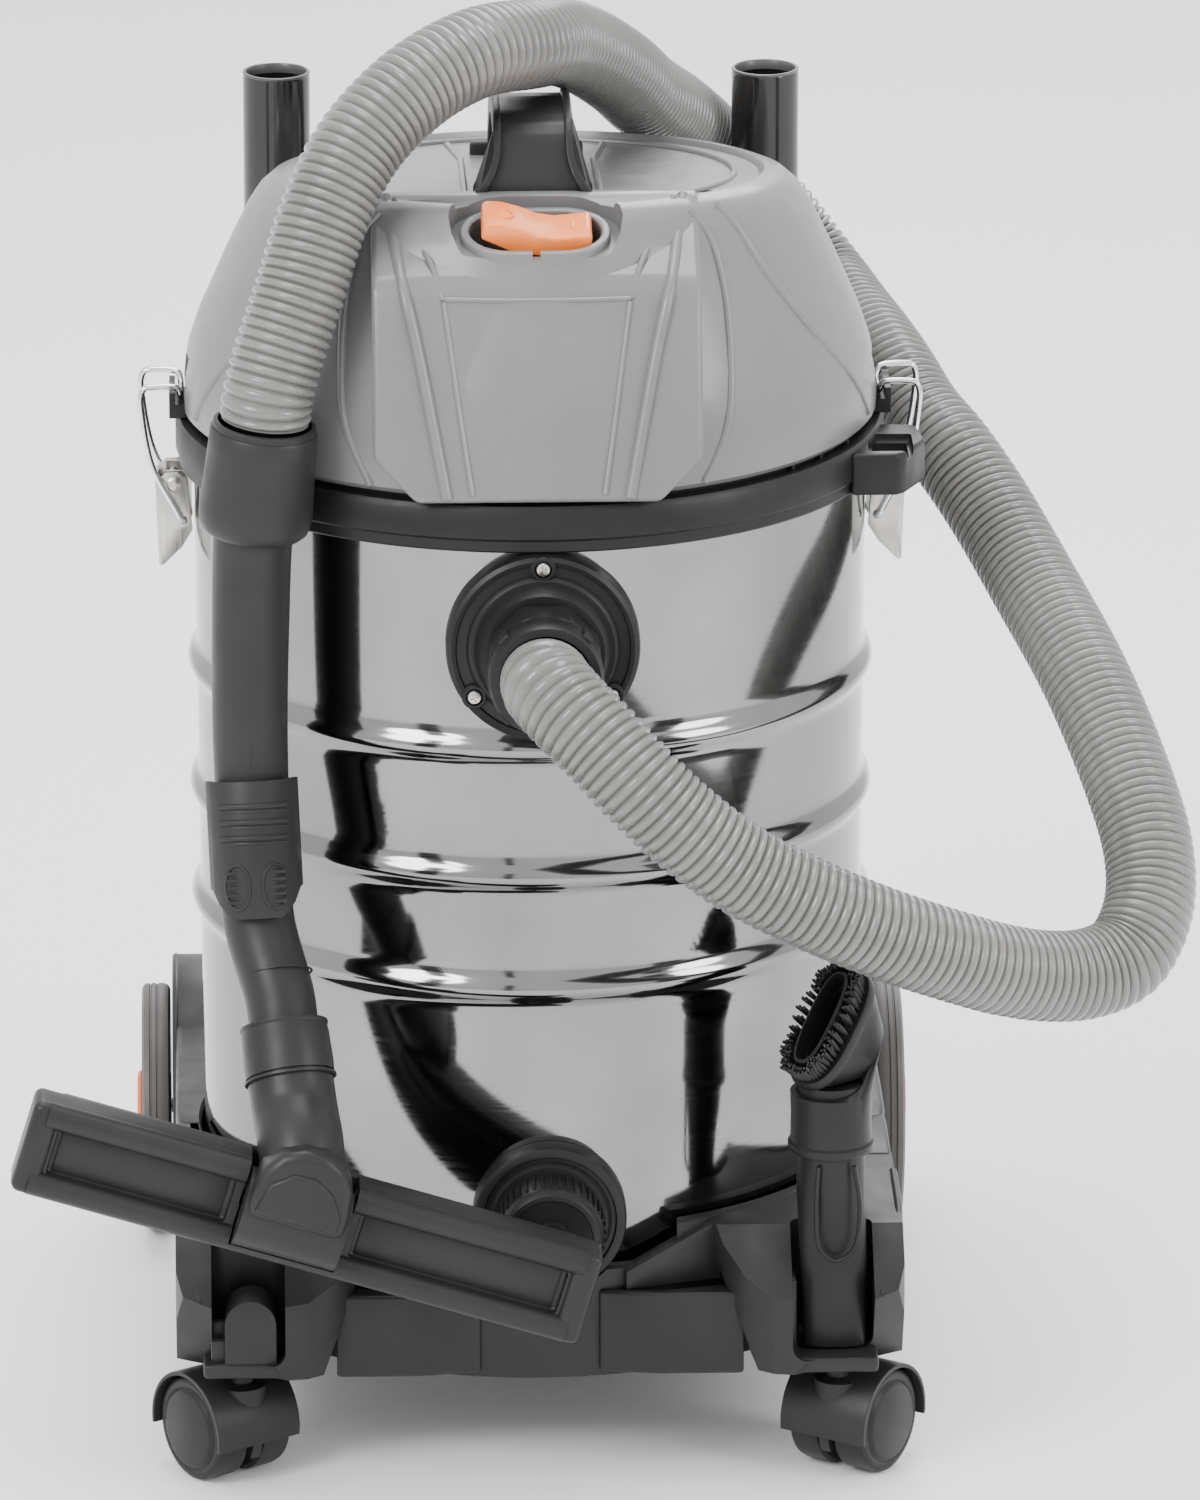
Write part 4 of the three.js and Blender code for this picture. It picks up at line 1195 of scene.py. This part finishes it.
def nozzle_neck():
    c, s = math.cos(NOZZLE_TILT), math.sin(NOZZLE_TILT)
    root = NOZZLE_CENTRE + Vector((-8 * c, BARREL_Y, 8 * s))
    lean = Vector((s, 0, c))
    barrel = in_nozzle(rod(20.2, (-34.5, BARREL_Y, 0), (18.5, BARREL_Y, 0), 64))
    plan = [
        (-33.5, 1), (17.5, 1), (17.5, 14), (15, 28), (8, 38), (-2, 43), (-14, 43), (-24, 38), (-31, 28),
        (-33.5, 14)
    ]
    housing = in_nozzle(eased(slab_front(plan, -4, -31), 6, 5, 40))
    face = [(-30, 5), (13, 5), (13, 14), (6, 25), (-5, 31), (-16, 30), (-26, 22)]
    housing = joined(housing, in_nozzle(eased(slab_front(face, -28, -32.8), 2.2, 4, 60)))
    throat = bar(
        smooth_route(
            [
                root + lean * 4, root + lean * 18, Vector((-121, -243, 202)), Vector((-124, -226, 216)),
                SOCKET_RIM - SOCKET_AXIS * -2
            ],
            3
        ),
        21.6,
        12,
    )
    socket = point_along(
        turned(
            [
                (0, 26), (22.4, 26), (22.6, 20), (22.2, 6), (21.8, 2.2), (22.4, 1.2), (22.2, 0),
                (19.2, 0), (18.7, 0.8), (18.7, 24), (0, 24)
            ],
            96
        ),
        SOCKET_RIM,
        SOCKET_AXIS,
    )
    room = rod(18.4, SOCKET_RIM - SOCKET_AXIS * 30, SOCKET_RIM + SOCKET_AXIS * 24, 64)
    step = point_along(
        turned([(21.8, 0), (23.2, 0.4), (23.2, 1.6), (21.8, 2)], 96), SOCKET_RIM + SOCKET_AXIS * 27,
        SOCKET_AXIS
    )
    neck = joined(barrel, housing, cut(throat, room), socket, step)
    settle(neck, "nozzle_saddle", charcoal, "machine", "charcoal_plastic", "nozzle_neck")


# ---- stored tools ----

TUBE_X, TUBE_Y = 127.5, 170


def extension_tubes():
    for side, word in SIDES:
        shift = Matrix.Translation((side * TUBE_X, TUBE_Y, 0))
        tube = turned([(15.9, 140), (17.5, 140), (17.5, 646.4), (17.2, 647.6), (15.9, 647.6)], 80)
        settle(
            stand(tube, shift), f"gloss_tube_{word}", gloss_tube, f"extension_tube_{word}", "gloss_black",
            f"extension_tube_{word}"
        )
        lip = turned(
            [
                (15.6, 644), (15.9, 644), (15.9, 647.7), (17.4, 647.7), (17.5, 648.6), (17.1, 649),
                (16, 649), (15.6, 648.4)
            ],
            80
        )
        settle(stand(lip, shift), f"tube_mouth_{word}", tube_lip, f"extension_tube_{word}", "gloss_black")
        cup = turned(
            [
                (0, 130), (21, 130), (22, 131), (22, 188), (23.2, 190), (23.2, 194.6), (22.2, 196),
                (19, 196), (18.4, 195), (18.4, 139.5), (0, 139.5)
            ],
            64
        )
        ribs = [
            stand(
                eased(block((21, -1.4, 131), (24, 1.4, 188)), 0.5),
                Matrix.Rotation(math.tau * i / 6, 4, "Z")
            )
            for i in range(6)
        ]
        settle(
            stand(joined(cup, *ribs), shift), f"tube_cup_{word}", charcoal, "machine", "charcoal_plastic",
            f"tube_socket_{word}"
        )


TOOL_X, TOOL_Y = 147, -182
BRUSH_MOUTH = Vector((146, -180, 240))
BRUSH_FACE = Vector((-0.5, -0.5, 0.71)).normalized()
BRUSH_LONG = Vector((0.42, 0.57, 0.7)).normalized()
BRUSH_SHORT = BRUSH_FACE.cross(BRUSH_LONG).normalized()
BRUSH_LONG = BRUSH_SHORT.cross(BRUSH_FACE).normalized()


def oval_ring(centre, long, short, count=48, power=1.0):
    """Points of a rounded oval; a power under one fills its corners."""
    ring = []
    for i in range(count):
        a = math.tau * i / count
        c, s = math.cos(a), math.sin(a)
        ring.append(
            Vector(centre) + long * (
                math.copysign(abs(c) ** power, c)
            ) + short * (math.copysign(abs(s) ** power, s))
        )
    return ring


def crevice_tool():
    rings = []
    for z, a, b, x, y in (
        (72, 15.5, 5.8, 149, -186), (73, 16, 6.2, 149, -186), (90, 16.2, 7, 149, -185.6),
        (112, 16.6, 8.6, 148.6, -185),
        (130, 17, 10.6, 148, -184.2), (148, 17.4, 13.6, 147.4, -183.2), (160, 17.5, 16.2, 147, -182.4),
        (172, 17.4, 17.4, 147, -182),
        (212, 17, 17, 147, -182),
    ):
        rings.append(
            oval_ring((x, y, z), Vector((a, 0, 0)), Vector((0, b, 0)), 48, 0.8 if z < 140 else 1.0)
        )
    tool = skin_over(rings)
    rib = bar(
        smooth_route(
            [
                (158, -199, 172), (161, -199, 150), (158, -199.6, 128), (149, -198, 121),
                (141, -199.4, 128), (139, -199, 150), (140, -199.5, 172)
            ],
            2
        ),
        1.2, 4
    )
    settle(
        joined(tool, rib), "crevice_tool_body", soft_black, "crevice_tool", "black_plastic",
        "crevice_tool", angle=45
    )


def brush_ring(drop, a, b, power=0.75):
    return oval_ring(BRUSH_MOUTH + BRUSH_FACE * drop, BRUSH_LONG * a, BRUSH_SHORT * b, 48, power)


def dust_brush():
    """The brush's head: a round socket that flows into a tilted oval mouth with a collar in it."""
    around = []
    for point in brush_ring(0, 1, 1, 1.0):
        away = point - BRUSH_MOUTH
        around.append(Vector((away.x, away.y, 0)).normalized())
    socket_steps = ((176, 20.8), (177.2, 21.8), (180.4, 21.8), (181.4, 20.6), (196, 20.4), (207, 20.8))
    rings = [
        [Vector((TOOL_X, TOOL_Y, height)) + away * radius for away in around]
        for height, radius in socket_steps
    ]
    rings += [
        brush_ring(-24, 22.5, 16.5, 0.95), brush_ring(-14, 30, 14.6, 0.85), brush_ring(-7, 32.4, 14.6),
        brush_ring(-6, 33.8, 16), brush_ring(-2, 34.2, 16.4), brush_ring(0, 33.6, 16)
    ]
    body = skin_over(rings)
    throat = skin_over([brush_ring(-20, 18, 6.5), brush_ring(8, 25, 7)])
    socket = rod(17.6, (TOOL_X, TOOL_Y, 150), (TOOL_X, TOOL_Y, 214), 48)
    body = cut(body, throat, socket)
    inner = [
        brush_ring(-2, 26.6, 8.2), brush_ring(9.4, 27, 8.6), brush_ring(10, 26.4, 8),
        brush_ring(10, 25.4, 7.2), brush_ring(-2, 25, 6.9)
    ]
    collar = cut(skin_over(inner[:3]), skin_over([brush_ring(-4, 25, 6.9), brush_ring(12, 25.2, 7)]))
    settle(
        joined(body, collar), "dust_brush_head", soft_black, "dust_brush", "black_plastic", "dust_brush",
        angle=40
    )

    tufts = []
    for row, (a, b) in enumerate(((28.8, 10.4), (31.2, 12.8))):
        feet = brush_ring(-0.6, a, b)
        tips = brush_ring(10.6, a + 1.6, b + 1.6)
        count = 54
        for i in range(count):
            k = i * 48 / count
            foot = feet[int(k) % 48].lerp(feet[(int(k) + 1) % 48], k % 1)
            tip = tips[int(k) % 48].lerp(tips[(int(k) + 1) % 48], k % 1)
            wander = Vector(
                (math.sin(i * 5.1 + row), math.sin(i * 3.7 + 2 * row), math.sin(i * 7.3))
            ) * 0.7
            for strand in range(3):
                nudge = Vector((math.sin(strand * 2.1 + i), math.cos(strand * 2.1 + i), 0)) * 0.8
                tufts.append(
                    bar(
                        [foot + nudge * 0.6, (foot + tip) / 2 + nudge, tip + wander + nudge * 1.4], 0.75,
                        0
                    )
                )
    settle(
        joined(*tufts), "dust_brush_tufts", bristle_black, "dust_brush", "bristle", "dust_brush_bristles",
        angle=20
    )


latches()
hose_cuff()
hand_tube()
air_slider()
nozzle_head()
nozzle_neck()
extension_tubes()
crevice_tool()
dust_brush()


# ---- trolley ----

REAR_AXLE = Vector((0, 205, 66))
CASTER_X, CASTER_Y = 152, -178
DRAIN_X, DRAIN_Z = 5, 138
DECK, SEAT = 90, 95.6


def drum_room():
    """The space above the deck that the drum stands in."""
    return rod(173, (0, 0, SEAT), (0, 0, 300), 96)


def room_below():
    """The open space under the deck."""
    return rod(174, (0, 0, 30), (0, 0, DECK), 96)


def raised(points, low, high):
    """A vertical prism over an outline."""
    return stand(slab(points, high - low), Matrix.Translation((0, 0, low)))


def foot(side):
    """One front foot: a sloping housing over the caster with a well that is open to the front."""
    body = raised(
        [
            (86, -120), (86, -158), (93, -178), (104, -194), (118, -204), (136, -207), (172, -207),
            (181, -200), (184.6, -188), (184.6, -62), (150, -62),
        ],
        62.4,
        130.4,
    )
    body = bisected(body, (140, -168, 130.4), (0, -0.6, 0.8))
    body = bisected(body, (86, -178, 125), (-0.94, -0.1, -0.33))
    body = bisected(body, (184.6, -180, 76), (0.45, -0.75, -0.45))
    body = eased(body, 5, 5, 24)
    width = 20.8 if side > 0 else 18.6
    well = eased(block((148 - width, -240, 70), (148 + width, -160 - 4 * (side < 0), 165)), 7, 5)
    window = eased(block((176, -153, 78), (192, -146, 116)), 1.6, 2)
    slot = eased(block((176, -134, 78), (192, -127, 116)), 1.6, 2)
    body = cut(body, well, window, slot)
    body = cut(body, drum_room(), room_below())
    sill = eased(block((148 - 23, -204.5, 62.6), (148 + 23, -166, 70.6)), 2.4, 3)
    edge = smooth_route(
        [(184, -90, 130), (183.4, -150, 129), (181.6, -172, 124), (178, -188, 112), (172, -202, 103)], 3
    )
    made = joined(body, sill, bar(edge, 2, 4))
    if side > 0:
        return joined(made, eased(block((124, -190, 69), (130, -170, 108)), 2, 3))
    tongue = fused(block((134, -203, 69), (160, -178, 92)), rod(13, (147, -203, 91), (147, -178, 91), 40))
    tongue = eased(tongue, 2.4, 3, 40)
    steps = [
        eased(block((158, -200 + 9 * i, 69), (167, -194 + 9 * i, 82 + 7 * i)), 1.2, 2)
        for i in range(2)
    ]
    return mirrored_only(joined(made, tongue, *steps))


def fender(side):
    """The arch over a rear wheel, with a rolled edge and long slots, and the side wall that carries it."""
    cy, cz = REAR_AXLE.y, REAR_AXLE.z
    sweep = [math.radians(180 - 135 * i / 32) for i in range(33)]
    arch = [(cy + 81.5 * math.cos(a), cz + 81.5 * math.sin(a)) for a in sweep]
    arch += [(cy + 22, cz - 4), (cy + 14, 50.4), (cy - 15, 50.4)]
    body = slab_side(arch, 164.4, 187)
    body = eased(body, 2.6, 3, 40)
    slots = []
    for i in range(6):
        a = math.radians(166 - i * 20)
        slot = eased(block((182, 36, -3.2), (192, 68 if i else 62, 3.2)), 2.6, 3)
        slots.append(stand(slot, Matrix.Translation((0, cy, cz)) @ Matrix.Rotation(a, 4, "X")))
    body = cut(body, *slots)
    rim = [Vector((185.4, cy + 80 * math.cos(a), cz + 80 * math.sin(a))) for a in sweep]
    wall = raised([(155.4, -9.6), (183, -9.6), (185, 10), (185, 149.6), (155.4, 149.6)], 62.6, 131.4)
    wall = eased(wall, 3, 3)
    wall = cut(
        wall, drum_room(), room_below(),
        eased(block((180, 12, 78), (190, 66, 116)), 6, 4),
        eased(block((180, 78, 78), (190, 122, 116)), 6, 4),
    )
    made = joined(body, bar(rim, 2, 4), wall)
    return made if side > 0 else mirrored_only(made)


def mirrored_only(piece):
    """The other side's twin in place of the piece."""
    twin = mirrored(piece)
    bpy.data.objects.remove(piece)
    return twin


def trolley():
    ring = turned(
        [
            (0, 90), (174, 90), (176.6, 86), (176.6, 53.6), (178, 52.2), (180.2, 53), (181, 56),
            (181, 106), (180.6, 110), (178.4, 111), (173, 111), (171.6, 109.6), (171.5, 95.6), (0, 95.6),
        ],
        160,
    )
    collar = turned(
        [(171.6, 100), (181, 100), (181, 127), (180, 130), (177.8, 131), (173.4, 131), (171.6, 129.4)],
        160
    )
    collar = cut(collar, block((-70, -300, 60), (70, 0, 200)))
    step = raised([(40, -169), (44, -180), (92, -164), (98, -150), (88, -140)], 100, 130)
    step = bisected(step, (86, -165, 129), (-0.42, 0, 0.907))
    step = cut(eased(step, 2.4, 3), drum_room())
    apron = raised([(30, -176), (60, -180), (94, -172), (104, -186), (60, -186), (30, -180.6)], 56, 100)
    apron = eased(apron, 2, 3, 40)
    steps = [step, apron]
    steps += [mirrored(part) for part in steps]
    ribs = []
    for i in range(12):
        a = math.tau * i / 12
        rib = block((60, -1.5, 78), (175.5, 1.5, 91))
        ribs.append(stand(rib, Matrix.Rotation(a, 4, "Z")))
    hub = turned([(44, 78), (47, 78), (47, 91), (44, 91)], 64)
    bridge = cut(
        eased(raised([(-159, 60), (159, 60), (151.4, 195.4), (-151.4, 195.4)], 98.4, 129.2), 3, 3, 40),
        rod(173, (0, 0, 90), (0, 0, 300), 96),
    )
    panels = []
    for x in (-92, -46, 0, 46, 92):
        panels.append(eased(block((x - 17, 190, 104), (x + 17, 196, 124)), 2.4, 3))
    joins = [
        cut(
            eased(block((170 * s - 14.6, -66, 62.6), (170 * s + 14.6, -4, 131)), 2.4, 3),
            drum_room(),
            room_below(),
        )
        for s in (-1, 1)
    ]
    sides = [foot(side) for side, _ in SIDES] + [fender(side) for side, _ in SIDES]
    notch = rod(40, (DRAIN_X, -120, DRAIN_Z), (DRAIN_X, -230, DRAIN_Z), 64)
    ring, collar = cut(ring, copy_of(notch)), cut(collar, copy_of(notch))
    bpy.data.objects.remove(notch)
    bores = [rod(6.4, (s * CASTER_X, CASTER_Y, 50), (s * CASTER_X, CASTER_Y, 69), 24) for s in (-1, 1)]
    sides = [
        cut(part, copy_of(bores[0]), copy_of(bores[1])) if i < 2 else part for i, part in enumerate(sides)
    ]
    for bore in bores:
        bpy.data.objects.remove(bore)
    bridge = joined(bridge, *panels)
    base = joined(ring, collar, *steps, *ribs, hub, bridge, *joins, *sides)
    settle(base, "trolley_shell", charcoal, "machine", "charcoal_plastic", "trolley_base")


# ---- wheels ----


def rear_wheels():
    for side, word in SIDES:
        profile = [
            (4.4, 188.8), (17, 188.8), (18, 190.6), (22, 192), (46, 192), (50, 190.4), (52, 188.9),
            (63, 188.7), (65, 189.8), (66, 192.5), (66, 195), (65.2, 195.4), (65.2, 196), (66, 196.4),
            (66, 198.6), (65.2, 199), (65.2, 199.6), (66, 200), (65.4, 202.6), (63, 203.9), (60, 204),
            (58.6, 202.6), (55, 202.6), (53.6, 200), (24, 200), (22.4, 202.4), (18, 204), (4.4, 204),
        ]
        wheel = turned(profile, 120)
        spokes = [
            stand(
                eased(block((20, -3.2, 198), (55, 3.2, 202.4)), 1.2, 2),
                Matrix.Rotation(math.tau * i / 6, 4, "Z")
            )
            for i in range(6)
        ]
        wheel = joined(wheel, *spokes)
        wheel = point_along(wheel, (0, REAR_AXLE.y, REAR_AXLE.z), (side, 0, 0))
        settle(
            wheel, f"big_wheel_{word}", tread_grey, f"rear_wheel_{word}", "tread", f"rear_wheel_{word}"
        )
        cap = turned(
            [
                (0, 204.4), (18.6, 204.4), (19, 205), (18, 206.4), (15.4, 206.9), (14.6, 206.2),
                (5, 206.2), (4, 207), (0, 207)
            ],
            80
        )
        ribs = [
            stand(
                block((5.2, -0.6, 205.8), (14, 0.6, 206.8)), Matrix.Rotation(math.tau * i / 8, 4, "Z")
            )
            for i in range(8)
        ]
        cap = point_along(joined(cap, *ribs), (0, REAR_AXLE.y, REAR_AXLE.z), (side, 0, 0))
        settle(
            cap, f"hub_cover_{word}", orange_trim, f"rear_wheel_{word}", "orange_plastic",
            f"hub_cap_{word}"
        )


CASTER_HUB_Z = 27
CASTER_LEAN = math.radians(55)


def caster(side, word):
    pivot = Vector((side * CASTER_X, CASTER_Y, 0))
    trail = Vector((side * math.cos(CASTER_LEAN), math.sin(CASTER_LEAN), 0))
    axis = Vector((side * math.sin(CASTER_LEAN), -math.cos(CASTER_LEAN), 0))
    hub = pivot + trail * 14 + UP * CASTER_HUB_Z

    hood = turned([(28.2, -25), (30, -25), (30.3, -24), (30.3, 24), (30, 25), (28.2, 25)], 96)
    hood = point_along(hood, hub, axis)
    hood = cut(hood, block((hub.x - 60, hub.y - 60, -40), (hub.x + 60, hub.y + 60, 22.6)))
    hood = eased(hood, 0.5, 2, 50)
    web = point_along(turned([(4.2, -2.8), (28.8, -2.8), (28.8, 2.8), (4.2, 2.8)], 64), hub, axis)
    web = cut(web, block((hub.x - 50, hub.y - 50, -30), (hub.x + 50, hub.y + 50, 14)))
    seat = point_along(
        turned([(0, 0), (11, 0), (11, 3), (6.2, 4.6), (6, 19), (5, 20), (0, 20)], 48), pivot + UP * 48, UP
    )
    boss = cut(
        rod(12.5, pivot + UP * 38, pivot + UP * 51, 48),
        point_along(rod(28.4, (0, 0, -40), (0, 0, 40), 64), hub, axis)
    )
    fork = joined(hood, web, seat, boss)
    settle(
        fork, f"caster_hood_{word}", charcoal, f"caster_{word}", "charcoal_plastic", f"caster_hood_{word}"
    )
    for out, place in ((1, "outer"), (-1, "inner")):
        disc = turned(
            [
                (3.3, 4), (25, 4), (27, 5.4), (27, 19), (26.4, 21.2), (24.6, 22.4), (22.6, 22.6),
                (21.6, 22.2), (20.8, 22.6),
                (20, 23.6), (18.6, 24.2), (0, 24.6), (0, 22.4), (3.3, 22.4),
            ],
            96,
        )
        disc = point_along(disc, hub, axis * out)
        settle(
            disc, f"caster_disc_{word}_{place}", soft_black, f"caster_wheel_{word}_{place}",
            "black_plastic", f"caster_wheel_{word}_{place}"
        )


def wheels():
    rear_wheels()
    for side, word in SIDES:
        caster(side, word)
    dress_node("rear_axle", satin_steel)
    for word in ("left", "right"):
        dress_node(f"caster_axle_{word}", satin_steel)


def inner_parts():
    """The parts inside the machine keep their plain shapes and take their finishes."""
    for node, material in (
        ("motor", cast_metal), ("impeller", soft_black), ("float_cage", soft_black),
        ("float_ball", float_white),
        ("filter_cartridge", filter_pleats), ("head_gasket", seal_black), ("inlet_deflector", soft_black),
        ("switch_housing", soft_black),
    ):
        dress_node(node, material)


trolley()
wheels()
inner_parts()


# ---- finish ----

bpy.context.view_layer.update()
